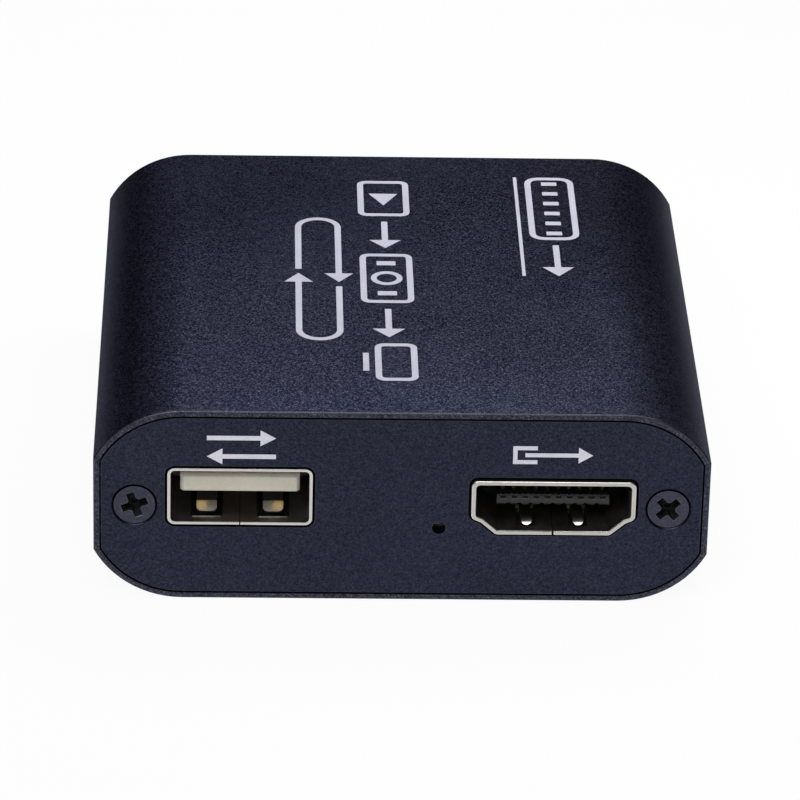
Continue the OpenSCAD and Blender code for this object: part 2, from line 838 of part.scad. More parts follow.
// Square with its two front corners and its two rear corners cut off
module cut_square(w, front_cut, rear_cut) {
  half = w / 2;
  polygon([
    [-half + front_cut, -half], [half - front_cut, -half], [half, -half + front_cut],
    [half, half - rear_cut], [half - rear_cut, half], [-half + rear_cut, half],
    [-half, half - rear_cut], [-half, -half + front_cut]
  ]);
}

// Both bulk capacitors, one before the other at the right of the board's rear
module can_sites() {
  for (i = [0, 1])
    translate([board_half - can_in[0], board_rear - can_in[1] - i * can_step, board_top]) children();
}

module bulk_capacitor_bases() {
  color([0.05, 0.05, 0.055])
    can_sites() linear_extrude(can_base_h) cut_square(can_base_w, can_base_foot, can_base_cut);
}

module bulk_capacitor_cans() {
  r = can_d / 2;
  color([0.75, 0.75, 0.76])
    can_sites() translate([0, 0, can_base_h])
      rotate_extrude()
        polygon([
          [0, 0], [r, 0], [r, can_groove_z[0]], [r - can_groove, can_groove_z[1]],
          [r - can_groove, can_groove_z[2]], [r, can_groove_z[3]], [r, can_h - can_edge],
          [r - can_edge, can_h], [0, can_h]
        ]);
}

module crystals() {
  color([0.72, 0.7, 0.66])
    for (site = crystal_sites) block(site, crystal_size, board_top);
}

// Surge protection beside both video sockets
module surge_arrays() {
  color([0.06, 0.06, 0.065])
    for (rear = [false, true], x = surge_xs)
      at_end(rear)
        block([(rear ? video_in_x : video_out_x) + x, front_y + surge_back], surge_size, board_top);
}

module small_parts(rows, size) {
  for (row = rows, i = [0 : row[2] - 1])
    translate([row[0] + i * row[3], row[1], 0]) rotate([0, 0, row[4]]) block([0, 0], size, board_top);
}

module chip_capacitors() {
  color([0.68, 0.55, 0.4]) small_parts(capacitor_rows, capacitor_size);
}

module chip_resistors() {
  color([0.08, 0.08, 0.085]) small_parts(resistor_rows, resistor_size);
}

module status_light() {
  color([0.85, 0.87, 0.9])
    translate([light_x, board_front, 0]) {
      block([0, light_lens_d + light_d / 2], [light_w, light_d, light_h], board_top);
      translate([0, 0, light_z]) rotate([-90, 0, 0]) cylinder(r = light_lens_r, h = light_lens_d + eps);
    }
}

shell();
front_panel();
rear_panel();
panel_screw(-screw_x, -20);  // front_screw_left
panel_screw(screw_x, 49);  // front_screw_right
at_end(true) panel_screw(screw_x, 12);  // rear_screw_left
at_end(true) panel_screw(-screw_x, 63);  // rear_screw_right
main_board();
data_socket_shell();
data_socket_insulator();
data_socket_contacts();
video_shell(false);  // video_out_shell
video_insulator(false);  // video_out_insulator
video_contacts(false);  // video_out_contacts
video_shell(true);  // video_in_shell
video_insulator(true);  // video_in_insulator
video_contacts(true);  // video_in_contacts
capture_chip();
capture_chip_leads();
splitter_chip();
memory_chip();
memory_chip_leads();
regulators();
regulator_leads();
inductors();
bulk_capacitor_bases();
bulk_capacitor_cans();
crystals();
surge_arrays();
chip_capacitors();
chip_resistors();
status_light();
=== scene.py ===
import math
import random

import bmesh
import bpy
from mathutils import Matrix, Vector


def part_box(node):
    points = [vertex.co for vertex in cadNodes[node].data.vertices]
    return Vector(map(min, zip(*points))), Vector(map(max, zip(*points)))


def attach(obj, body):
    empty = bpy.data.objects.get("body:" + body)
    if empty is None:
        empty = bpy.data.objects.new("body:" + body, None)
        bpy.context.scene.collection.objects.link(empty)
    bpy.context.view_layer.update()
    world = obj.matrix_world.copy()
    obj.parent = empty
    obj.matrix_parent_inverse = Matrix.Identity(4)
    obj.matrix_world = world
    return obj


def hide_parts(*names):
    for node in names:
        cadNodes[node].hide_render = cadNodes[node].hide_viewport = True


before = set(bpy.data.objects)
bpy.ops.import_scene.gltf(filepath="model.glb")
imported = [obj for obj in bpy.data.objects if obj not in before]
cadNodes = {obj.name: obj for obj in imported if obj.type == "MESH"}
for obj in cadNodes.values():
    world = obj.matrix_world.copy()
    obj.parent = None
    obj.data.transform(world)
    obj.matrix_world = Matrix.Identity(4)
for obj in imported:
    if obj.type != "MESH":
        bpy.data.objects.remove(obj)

mm = 0.001
near = 0.01 * mm  # points closer than this lie on the same face
merged = 0.0005 * mm  # points closer than this are one point
cutNear = 0.0001 * mm  # points closer than this to a cutting plane lie on it
scene = bpy.context.scene
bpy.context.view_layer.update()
print("frame loaded:", len(cadNodes), "nodes")

shellLow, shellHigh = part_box("shell")
topZ = shellHigh.z
frontY = shellLow.y
rearY = shellHigh.y
boardLow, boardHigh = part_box("main_board")
boardTop = boardHigh.z


def addObject(name, data):
    made = bpy.data.objects.new(name, data)
    scene.collection.objects.link(made)
    return made


# Camera, in millimetres and degrees of the part's frame
cameraView = {
    "target": (-0.386, -28.2, 20.323), "azimuth": -1.856, "elevation": 26.623, "roll": 1.371,
    "distance": 472.5, "lens": 238.1, "sensor": 36, "clipStart": 10,
}


def setCamera(view):
    azimuth = math.radians(view["azimuth"])
    elevation = math.radians(view["elevation"])
    roll = math.radians(view["roll"])
    flat = math.cos(elevation)
    back = Vector((math.sin(azimuth) * flat, -math.cos(azimuth) * flat, math.sin(elevation)))
    right = Vector((0, 0, 1)).cross(back).normalized()
    up = back.cross(right)
    cameraX = right * math.cos(roll) + up * math.sin(roll)
    cameraY = up * math.cos(roll) - right * math.sin(roll)
    turned = Matrix((cameraX, cameraY, back)).transposed().to_4x4()
    data = bpy.data.cameras.new("photoCamera")
    data.lens = view["lens"]
    data.sensor_width = view["sensor"]
    data.clip_start = view["clipStart"] * mm
    camera = addObject("photoCamera", data)
    place = (Vector(view["target"]) + back * view["distance"]) * mm
    camera.matrix_world = Matrix.Translation(place) @ turned
    scene.camera = camera


setCamera(cameraView)


# Node groups that the finishes share

def addNode(tree, kind, inputs=None, **settings):
    node = tree.nodes.new(kind)
    for key, value in settings.items():
        setattr(node, key, value)
    for key, value in (inputs or {}).items():
        if isinstance(value, bpy.types.NodeSocket):
            tree.links.new(value, node.inputs[key])
        else:
            node.inputs[key].default_value = value
    return node


def math2(tree, operation, first, second, clamp=False):
    node = addNode(tree, "ShaderNodeMath", {0: first, 1: second}, operation=operation, use_clamp=clamp)
    return node.outputs[0]


def remap(tree, value, low, high, newLow=0.0, newHigh=1.0):
    inputs = {"Value": value, "From Min": low, "From Max": high, "To Min": newLow, "To Max": newHigh}
    return addNode(tree, "ShaderNodeMapRange", inputs).outputs[0]


def startGroup(name, inputs, outputs):
    group = bpy.data.node_groups.new(name, "ShaderNodeTree")
    for label, value in inputs.items():
        socket = group.interface.new_socket(label, in_out="INPUT", socket_type="NodeSocketFloat")
        socket.default_value = value
    for label in outputs:
        group.interface.new_socket(label, in_out="OUTPUT", socket_type="NodeSocketFloat")
    return group, group.nodes.new("NodeGroupInput").outputs, group.nodes.new("NodeGroupOutput")


def objectPlace(tree):
    return addNode(tree, "ShaderNodeTexCoord").outputs["Object"]


def addNoise(tree, place, scale, detail, rough, distortion=0.0):
    inputs = {"Vector": place, "Scale": scale, "Detail": detail, "Roughness": rough, "Distortion": distortion}
    return addNode(tree, "ShaderNodeTexNoise", inputs).outputs[0]


# Fine blasted or moulded grain: a shade near 1, with a few bright specks that are painted glints, and a
# height
grainBuild = {"detail": 2.0, "rough": 0.6, "swing": 2.4, "specks": (0.88, 1.0), "darkest": 0.15}


def makeFineGrain(build):
    inputs = {"Scale": 7000, "Contrast": 0.3, "Glint": 0.2}
    group, given, put = startGroup("fineGrain", inputs, ["Shade", "Height"])
    place = objectPlace(group)
    noise = addNoise(group, place, given["Scale"], build["detail"], build["rough"])
    cells = addNode(group, "ShaderNodeTexVoronoi", {"Vector": place, "Scale": given["Scale"]})
    cellTone = addNode(group, "ShaderNodeSeparateColor", {0: cells.outputs["Color"]}).outputs[0]
    swing = math2(group, "MULTIPLY", math2(group, "SUBTRACT", noise, 0.5), build["swing"])
    cellSwing = math2(group, "SUBTRACT", cellTone, 0.5)
    both = math2(group, "MULTIPLY", math2(group, "ADD", swing, cellSwing), given["Contrast"])
    paintedGlint = math2(group, "MULTIPLY", remap(group, cellTone, *build["specks"]), given["Glint"])
    shade = math2(group, "ADD", math2(group, "ADD", both, paintedGlint), 1.0)
    group.links.new(math2(group, "MAXIMUM", shade, build["darkest"]), put.inputs["Shade"])
    group.links.new(noise, put.inputs["Height"])
    return group


# Slow clouding over a surface, from 0 to 1
cloudBuild = {"detail": 4.0, "rough": 0.55, "distortion": 0.3, "range": (0.32, 0.68)}


def makeSoftCloud(build):
    group, given, put = startGroup("softCloud", {"Scale": 120}, ["Cloud"])
    shape = (build["detail"], build["rough"], build["distortion"])
    noise = addNoise(group, objectPlace(group), given["Scale"], *shape)
    group.links.new(remap(group, noise, *build["range"]), put.inputs["Cloud"])
    return group


# Bare metal along edges that were given a bevel, broken up by noise: edge wear, and on the shell's rim, the
# socket edges and the video tongues also a painted highlight
wearAndHighlightBuild = {"detail": 3.0, "rough": 0.6, "range": (0.3, 0.6), "least": 0.45}


def makeEdgeWear(build):
    group, given, put = startGroup("edgeWear", {"Amount": 0.5, "Scale": 900}, ["Wear"])
    edge = addNode(group, "ShaderNodeAttribute", attribute_name="edge").outputs["Fac"]
    noise = addNoise(group, objectPlace(group), given["Scale"], build["detail"], build["rough"])
    patchy = remap(group, noise, *build["range"], build["least"], 1.0)
    wearAndHighlight = math2(group, "MULTIPLY", math2(group, "MULTIPLY", edge, patchy), given["Amount"], True)
    group.links.new(wearAndHighlight, put.inputs["Wear"])
    return group


# Fine lines along the length of the box, as rolling or extruding leaves them
lineBuild = {"stretch": (3200, 55, 3200), "detail": 3.0, "rough": 0.7}


def makeDrawLines(build):
    group, given, put = startGroup("drawLines", {"Amount": 0.1}, ["Shade"])
    stretch = {"Vector": objectPlace(group), "Scale": build["stretch"]}
    place = addNode(group, "ShaderNodeMapping", stretch).outputs[0]
    noise = addNoise(group, place, 1.0, build["detail"], build["rough"])
    swing = math2(group, "MULTIPLY", math2(group, "SUBTRACT", noise, 0.5), given["Amount"])
    group.links.new(math2(group, "ADD", swing, 1.0), put.inputs["Shade"])
    return group


fineGrain = makeFineGrain(grainBuild)
softCloud = makeSoftCloud(cloudBuild)
edgeWear = makeEdgeWear(wearAndHighlightBuild)
drawLines = makeDrawLines(lineBuild)


def placeGroup(tree, group, **inputs):
    return addNode(tree, "ShaderNodeGroup", inputs, node_tree=group).outputs


def mixColour(tree, share, first, second, blend="MIX"):
    node = addNode(tree, "ShaderNodeMix", data_type="RGBA", blend_type=blend)
    for socket, value in ((node.inputs[0], share), (node.inputs[6], first), (node.inputs[7], second)):
        if isinstance(value, bpy.types.NodeSocket):
            tree.links.new(value, socket)
        elif isinstance(value, (int, float)):
            socket.default_value = value
        else:
            socket.default_value = (*value, 1)
    return node.outputs[2]


# What a finish has unless its own look says otherwise
plainLook = {
    "glint": 0.0, "lines": 0.0, "specular": 0.5, "metal": 0.0, "clear": 0.0, "tint": (1, 1, 1),
    "neutralGlintShare": 0.5, "bumpStrength": 0.5,
}

# One look for each finish: low and high are the two colours that the clouding runs between; the worn colour
# of bevelled edges is edge wear and, on the shell's rim and in the sockets, a painted highlight
finishLooks = {
    "anodisedShell": {
        "low": (0.0310, 0.0340, 0.0575), "high": (0.0368, 0.0404, 0.0672), "cloud": 45,
        "grain": 8200, "contrast": 2.6, "glint": 1.6, "lines": 0.12, "rough": (0.35, 0.40), "metal": 0.92,
        "tint": (0.32, 0.32, 0.36), "bump": 0.012, "wornAndLit": (0.062, 0.063, 0.074), "wearAndHighlight": 0.9,
    },
    "anodisedPanel": {
        "low": (0.0235, 0.0260, 0.0445), "high": (0.0270, 0.0300, 0.0505), "cloud": 70,
        "grain": 7500, "contrast": 0.7, "glint": 0.3, "lines": 0.05, "rough": (0.35, 0.40), "metal": 0.92,
        "tint": (0.32, 0.33, 0.37), "bump": 0.006, "wornAndLit": (0.08, 0.085, 0.10), "wearAndHighlight": 0.5,
    },
    "blackScrew": {
        "low": (0.042, 0.045, 0.068), "high": (0.056, 0.059, 0.086), "cloud": 500,
        "grain": 6500, "contrast": 0.3, "glint": 0.3, "rough": (0.34, 0.46),
        "tint": (0.5, 0.5, 0.55), "bump": 0.006, "wornAndLit": (0.14, 0.14, 0.155), "wearAndHighlight": 0.7, "metal": 0.85,
    },
    # The screw's own metal, near black in the cross recess: painted shade
    "recessPaintedShade": {
        "low": (0.003, 0.003, 0.004), "high": (0.006, 0.006, 0.008), "cloud": 900,
        "grain": 6500, "contrast": 0.3, "glint": 0.2, "rough": (0.6, 0.75),
        "specular": 0.2, "bump": 0.004, "wornAndLit": (0.05, 0.05, 0.055), "wearAndHighlight": 0.4,
    },
    "nickelSheet": {
        "low": (0.56, 0.54, 0.51), "high": (0.62, 0.605, 0.58), "cloud": 260,
        "grain": 5200, "contrast": 0.05, "lines": 0.10, "rough": (0.26, 0.29),
        "bump": 0.0005, "wornAndLit": (0.80, 0.79, 0.77), "wearAndHighlight": 0.9, "metal": 1.0,
    },
    # The same nickel plating, darker: painted shade on the walls inside the sockets
    "nickelShadedInside": {
        "low": (0.15, 0.14, 0.13), "high": (0.22, 0.21, 0.195), "cloud": 320,
        "grain": 5200, "contrast": 0.1, "lines": 0.25, "rough": (0.38, 0.52),
        "bump": 0.004, "wornAndLit": (0.5, 0.49, 0.47), "wearAndHighlight": 0.7, "metal": 1.0,
    },
    "warmNickelSheet": {
        "low": (0.48, 0.465, 0.45), "high": (0.54, 0.525, 0.51), "cloud": 260,
        "grain": 5200, "contrast": 0.06, "lines": 0.10, "rough": (0.28, 0.31),
        "bump": 0.0005, "wornAndLit": (0.74, 0.71, 0.65), "wearAndHighlight": 0.8, "metal": 1.0,
    },
    "creamPlastic": {
        "low": (0.62, 0.58, 0.49), "high": (0.69, 0.65, 0.55), "cloud": 300,
        "grain": 4500, "contrast": 0.05, "lines": 0.04, "rough": (0.4, 0.55),
        "specular": 0.4, "bump": 0.003, "wornAndLit": (0.72, 0.69, 0.60), "wearAndHighlight": 0.4,
    },
    "blackPlastic": {
        "low": (0.010, 0.010, 0.011), "high": (0.016, 0.016, 0.017), "cloud": 300,
        "grain": 5500, "contrast": 0.15, "glint": 0.1, "lines": 0.05, "rough": (0.34, 0.5),
        "specular": 0.45, "bump": 0.004, "wornAndLit": (0.12, 0.12, 0.125), "wearAndHighlight": 0.6,
    },
    "contactGold": {
        "low": (0.70, 0.48, 0.19), "high": (0.83, 0.62, 0.28), "cloud": 500,
        "grain": 5000, "contrast": 0.06, "lines": 0.12, "rough": (0.25, 0.3),
        "bump": 0.0005, "wornAndLit": (0.9, 0.74, 0.42), "wearAndHighlight": 0.5, "metal": 1.0,
    },
    "chipBlack": {
        "low": (0.014, 0.014, 0.015), "high": (0.021, 0.021, 0.022), "cloud": 250,
        "grain": 9000, "contrast": 0.35, "glint": 0.3, "rough": (0.5, 0.62),
        "specular": 0.4, "bump": 0.006, "wornAndLit": (0.05, 0.05, 0.052), "wearAndHighlight": 0.6,
    },
    "tinnedLead": {
        "low": (0.60, 0.60, 0.59), "high": (0.76, 0.76, 0.75), "cloud": 900,
        "grain": 6000, "contrast": 0.1, "lines": 0.05, "rough": (0.3, 0.36),
        "bump": 0.004, "wornAndLit": (0.84, 0.84, 0.83), "wearAndHighlight": 0.4, "metal": 1.0,
    },
    "ferriteGrey": {
        "low": (0.040, 0.040, 0.043), "high": (0.060, 0.060, 0.064), "cloud": 300,
        "grain": 6500, "contrast": 0.4, "glint": 0.4, "rough": (0.55, 0.7),
        "specular": 0.4, "bump": 0.01, "wornAndLit": (0.12, 0.12, 0.125), "wearAndHighlight": 0.6,
    },
    "canAluminium": {
        "low": (0.74, 0.74, 0.75), "high": (0.83, 0.83, 0.84), "cloud": 200,
        "grain": 5000, "contrast": 0.05, "lines": 0.05, "rough": (0.24, 0.28),
        "bump": 0.0005, "wornAndLit": (0.9, 0.9, 0.9), "wearAndHighlight": 0.5, "metal": 1.0,
    },
    "ceramicTan": {
        "low": (0.36, 0.24, 0.13), "high": (0.46, 0.32, 0.19), "cloud": 700,
        "grain": 7000, "contrast": 0.12, "rough": (0.4, 0.55),
        "specular": 0.4, "bump": 0.004, "wornAndLit": (0.52, 0.38, 0.24), "wearAndHighlight": 0.3,
    },
    "lightClear": {
        "low": (0.82, 0.85, 0.88), "high": (0.9, 0.92, 0.94), "cloud": 800,
        "grain": 4000, "contrast": 0.03, "rough": (0.1, 0.2),
        "bump": 0.001, "wornAndLit": (0.95, 0.95, 0.95), "wearAndHighlight": 0.2, "clear": 0.55,
    },
    "boardGreen": {
        "low": (0.005, 0.034, 0.017), "high": (0.007, 0.044, 0.022), "cloud": 160,
        "grain": 2600, "contrast": 0.14, "lines": 0.06, "rough": (0.38, 0.5),
        "specular": 0.4, "bump": 0.004, "wornAndLit": (0.20, 0.20, 0.10), "wearAndHighlight": 0.7,
    },
    "coveredCopper": {
        "low": (0.011, 0.068, 0.032), "high": (0.015, 0.084, 0.040), "cloud": 200,
        "grain": 3000, "contrast": 0.12, "lines": 0.04, "rough": (0.36, 0.48),
        "specular": 0.4, "bump": 0.003, "wornAndLit": (0.03, 0.11, 0.06), "wearAndHighlight": 0.3,
    },
    # The same white ink as signInk, made darker on the top where more light falls: painted shade
    "topInk": {
        "low": (0.50, 0.505, 0.60), "high": (0.55, 0.555, 0.65), "cloud": 300,
        "grain": 5200, "contrast": 0.06, "rough": (0.5, 0.62),
        "specular": 0.3, "bump": 0.003, "wornAndLit": (0.55, 0.55, 0.6), "wearAndHighlight": 0.2,
    },
    "signInk": {
        "low": (0.74, 0.75, 0.85), "high": (0.80, 0.81, 0.91), "cloud": 300,
        "grain": 5200, "contrast": 0.06, "rough": (0.5, 0.62),
        "specular": 0.3, "bump": 0.003, "wornAndLit": (0.7, 0.7, 0.7), "wearAndHighlight": 0.2,
    },
}


def makeFinish(name, ownLook):
    look = {**plainLook, **ownLook}
    material = bpy.data.materials.new(name)
    material.use_nodes = True
    tree = material.node_tree
    shader = tree.nodes["Principled BSDF"]
    grain = placeGroup(tree, fineGrain, Scale=look["grain"], Contrast=look["contrast"], Glint=look["glint"])
    cloud = placeGroup(tree, softCloud, Scale=look["cloud"])["Cloud"]
    wearAndHighlight = placeGroup(tree, edgeWear, Amount=look["wearAndHighlight"])["Wear"]
    lines = placeGroup(tree, drawLines, Amount=look["lines"])["Shade"]
    tone = mixColour(tree, cloud, look["low"], look["high"])
    lined = mixColour(tree, 1.0, tone, lines, "MULTIPLY")
    tinted = mixColour(tree, 1.0, lined, grain["Shade"], "MULTIPLY")
    # Part of the grain is added as neutral grey: grain, and painted glints of the blasted skin
    glintSpeckle = math2(tree, "MULTIPLY", math2(tree, "SUBTRACT", grain["Shade"], 1.0), min(look["low"]))
    neutralGlint = mixColour(tree, 1.0, lined, glintSpeckle, "ADD")
    grained = mixColour(tree, look["neutralGlintShare"], tinted, neutralGlint)
    # Bevelled edges take the worn colour: edge wear, and in places a painted highlight
    wornAndLit = mixColour(tree, wearAndHighlight, grained, look["wornAndLit"])
    tree.links.new(wornAndLit, shader.inputs["Base Color"])
    low, high = look["rough"]
    rough = remap(tree, math2(tree, "MULTIPLY", cloud, lines), 0.0, 1.0, low, high)
    tree.links.new(rough, shader.inputs["Roughness"])
    inputs = {"Strength": look["bumpStrength"], "Distance": look["bump"] * mm, "Height": grain["Height"]}
    tree.links.new(addNode(tree, "ShaderNodeBump", inputs).outputs[0], shader.inputs["Normal"])
    shader.inputs["Metallic"].default_value = look["metal"]
    shader.inputs["Specular IOR Level"].default_value = look["specular"]
    shader.inputs["Specular Tint"].default_value = (*look["tint"], 1)
    shader.inputs["Transmission Weight"].default_value = look["clear"]
    return material


finishes = {name: makeFinish(name, look) for name, look in finishLooks.items()}
print("finishes made:", len(finishes))


# Mesh tools

def newMesh():
    bm = bmesh.new()
    bm.faces.layers.float.new("edge")
    return bm


# A merged copy of a CAD node, its flat faces each in one piece
def nodeCopy(name):
    bm = newMesh()
    bm.from_mesh(cadNodes[name].data)
    if bm.faces.layers.float.get("edge") is None:
        bm.faces.layers.float.new("edge")
    bmesh.ops.remove_doubles(bm, verts=bm.verts[:], dist=merged)
    bmesh.ops.dissolve_limit(bm, angle_limit=math.radians(0.4), verts=bm.verts[:], edges=bm.edges[:])
    for face in bm.faces:
        face.material_index = 0
    return bm


# Bevels edges and marks the new faces as edge
def bevelEdges(bm, edges, width, segments):
    edgeLayer = bm.faces.layers.float["edge"]
    made = bmesh.ops.bevel(
        bm, geom=edges, offset=width * mm, offset_type="OFFSET", affect="EDGES",
        segments=segments, profile=0.5, clamp_overlap=True, material=-1,
    )
    for face in made["faces"]:
        face[edgeLayer] = 1.0
    return made


# Bevels the outward edges that turn by more than an angle
def softenEdges(bm, width, where=None, segments=2, angle=32):
    limit = math.radians(angle)
    chosen = []
    for edge in bm.edges:
        if edge.is_manifold and edge.is_convex and edge.calc_face_angle(0.0) > limit:
            if where is None or where(edge):
                chosen.append(edge)
    made = bevelEdges(bm, chosen, width, segments)
    bmesh.ops.remove_doubles(bm, verts=made["verts"], dist=merged)


def middle(edge):
    return (edge.verts[0].co + edge.verts[1].co) / 2


# Whether both ends of an edge lie at a place along the box
def edgeAt(edge, y, reach=near):
    return all(abs(vert.co.y - y) < reach for vert in edge.verts)


def meshObject(bm, name):
    mesh = bpy.data.meshes.new(name)
    bm.to_mesh(mesh)
    bm.free()
    return addObject(name, mesh)


# Makes the finished piece: smooth where faces turn gently, riding on its body
def finishPiece(bm, name, body, finish, replaced=(), angle=30):
    limit = math.radians(angle)
    for face in bm.faces:
        face.smooth = True
    for edge in bm.edges:
        edge.smooth = edge.is_manifold and edge.calc_face_angle(0.0) < limit
    piece = meshObject(bm, name)
    for each in [finish] if isinstance(finish, str) else finish:
        piece.data.materials.append(finishes[each])
    weighted = piece.modifiers.new("evenNormals", "WEIGHTED_NORMAL")
    weighted.keep_sharp = True
    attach(piece, body)
    if replaced:
        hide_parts(*replaced)


def facesOf(verts):
    return list({face for vert in verts for face in vert.link_faces})


def addCube(bm, low, high):
    place = Matrix.Translation((low + high) / 2) @ Matrix.Diagonal((*(high - low), 1))
    return bmesh.ops.create_cube(bm, size=1, matrix=place)["verts"]


# A block with bevelled edges, in metres
def addBlock(bm, low, high, bevelWidth=0.0, segments=2, finish=0):
    verts = addCube(bm, low, high)
    faces = facesOf(verts)
    if bevelWidth:
        edges = list({edge for vert in verts for edge in vert.link_edges})
        made = bevelEdges(bm, edges, bevelWidth, segments)["faces"]
        faces = [face for face in faces if face.is_valid] + made
    for face in faces:
        face.material_index = finish


# A metal tab or foot that stands at a place on the board
def addTab(bm, place, halfX, halfY, height, bevelWidth):
    half = Vector((halfX, halfY, 0)) * mm
    top = place + half + Vector((0, 0, height * mm))
    addBlock(bm, place - half, top, bevelWidth, segments=1, finish=1)


def vertsSince(bm, before):
    return [vert for vert in bm.verts if vert not in before]


# A turned shape: radius and height pairs in millimetres, spun about local Z and placed by a matrix
def turnProfile(bm, points, place, steps):
    before = set(bm.verts)
    verts = [bm.verts.new((radius * mm, 0, height * mm)) for radius, height in points]
    edges = [bm.edges.new(pair) for pair in zip(verts, verts[1:])]
    bmesh.ops.spin(
        bm, geom=verts + edges, cent=(0, 0, 0), axis=(0, 0, 1),
        angle=2 * math.pi, steps=steps, use_merge=True,
    )
    bmesh.ops.remove_doubles(bm, verts=vertsSince(bm, before), dist=merged)
    made = vertsSince(bm, before)
    bmesh.ops.recalc_face_normals(bm, faces=facesOf(made))
    bmesh.ops.transform(bm, matrix=place, verts=made)


def boxAround(points):
    low = Vector([min(point[i] for point in points) for i in range(3)])
    high = Vector([max(point[i] for point in points) for i in range(3)])
    return low, high


def inRows(boxes):
    return sorted(boxes, key=lambda box: (round(box[0].y, 6), round(box[0].x, 6)))


def longSide(low, high):
    return 0 if high.x - low.x > high.y - low.y else 1


# The box of each separate solid in a CAD node, in order along y and then x
def looseBoxes(name):
    bm = nodeCopy(name)
    bm.verts.ensure_lookup_table()
    seen = set()
    boxes = []
    for first in bm.verts:
        if first.index in seen:
            continue
        seen.add(first.index)
        group = [first]
        for vert in group:
            for edge in vert.link_edges:
                other = edge.other_vert(vert)
                if other.index not in seen:
                    seen.add(other.index)
                    group.append(other)
        boxes.append(boxAround([vert.co for vert in group]))
    bm.free()
    return inRows(boxes)


# Shell
shellBuild = {"outerEdge": 0.16, "innerEdge": 0.05, "centreZ": 9.5, "cutFace": 0.4, "square": 0.99}


def buildShell(build):
    bm = nodeCopy("shell")
    centre = Vector((0, 0, build["centreZ"] * mm))

    def onRim(edge, outward):
        if min(abs(vert.co.y) for vert in edge.verts) < rearY - near:
            return False
        side = min(edge.link_faces, key=lambda face: abs(face.normal.y))
        out = middle(edge) - centre
        return (side.normal.dot(Vector((out.x, 0, out.z))) > 0) == outward

    edgeLayer = bm.faces.layers.float["edge"]
    for face in bm.faces:
        if abs(face.normal.y) > build["square"] and abs(face.calc_center_median().y) > rearY - near:
            face[edgeLayer] = build["cutFace"]
    # The rim's bevels take the lighter worn colour: edge wear and a painted highlight along the rim
    softenEdges(bm, build["outerEdge"], lambda edge: onRim(edge, True), segments=3)
    softenEdges(bm, build["innerEdge"], lambda edge: onRim(edge, False))
    finishPiece(bm, "shellCase", "shell", "anodisedShell", ["shell"], angle=18)


buildShell(shellBuild)


# End panels
panelBuild = {"edge": 0.07, "countersink": 2.3}


def buildPanel(node, pieceName, faceY):
    build = panelBuild
    bm = nodeCopy(node)
    screwBoxes = [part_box(name) for name in ("front_screw_left", "front_screw_right")]
    screwAxes = [(low + high) / 2 for low, high in screwBoxes]

    def onFace(edge):
        place = middle(edge)
        away = min(math.hypot(place.x - axis.x, place.z - axis.z) for axis in screwAxes)
        return away >= build["countersink"] * mm and edgeAt(edge, faceY)

    softenEdges(bm, build["edge"], onFace)
    finishPiece(bm, pieceName, node, "anodisedPanel", [node], angle=25)


buildPanel("front_panel", "frontPanel", frontY)
buildPanel("rear_panel", "rearPanel", rearY)
print("shell and panels made")


# Screws: the head is the CAD one with softened edges, and the shank gets a thread
screwBuild = {
    "neck": 1.3, "core": 0.76, "crest": 0.99, "pitch": 0.55, "tipLength": 0.9, "tipRadius": 0.25,
    "edge": 0.05, "stepsEachTurn": 20, "recessReach": 1.28, "recessDepth": (0.06, 1.25),
    "rim": 1.9, "rimScale": 0.97, "ridge": (0.02, 0.2, 0.26, 0.44), "rootSunk": 0.03, "shankSunk": 0.1,
}


def addThread(bm, build, length, place):
    before = set(bm.verts)
    root = build["core"] - build["rootSunk"]
    radii = (root, build["crest"], build["crest"], root)
    verts = [bm.verts.new((radius * mm, 0, height * mm)) for radius, height in zip(radii, build["ridge"])]
    face = bm.faces.new(verts)
    turns = (length - build["tipLength"] - build["ridge"][-1]) / build["pitch"]
    steps = int(turns * build["stepsEachTurn"])
    angle = 2 * math.pi / build["stepsEachTurn"] * steps
    bmesh.ops.spin(
        bm, geom=verts + face.edges[:], cent=(0, 0, 0), axis=(0, 0, 1), angle=angle, steps=steps,
        dvec=(0, 0, build["pitch"] * mm / build["stepsEachTurn"]), use_merge=False,
    )
    made = vertsSince(bm, before)
    ends = list({edge for vert in made for edge in vert.link_edges if edge.is_boundary})
    bmesh.ops.holes_fill(bm, edges=ends, sides=8)
    bmesh.ops.recalc_face_normals(bm, faces=facesOf(made))
    bmesh.ops.transform(bm, matrix=place, verts=made)


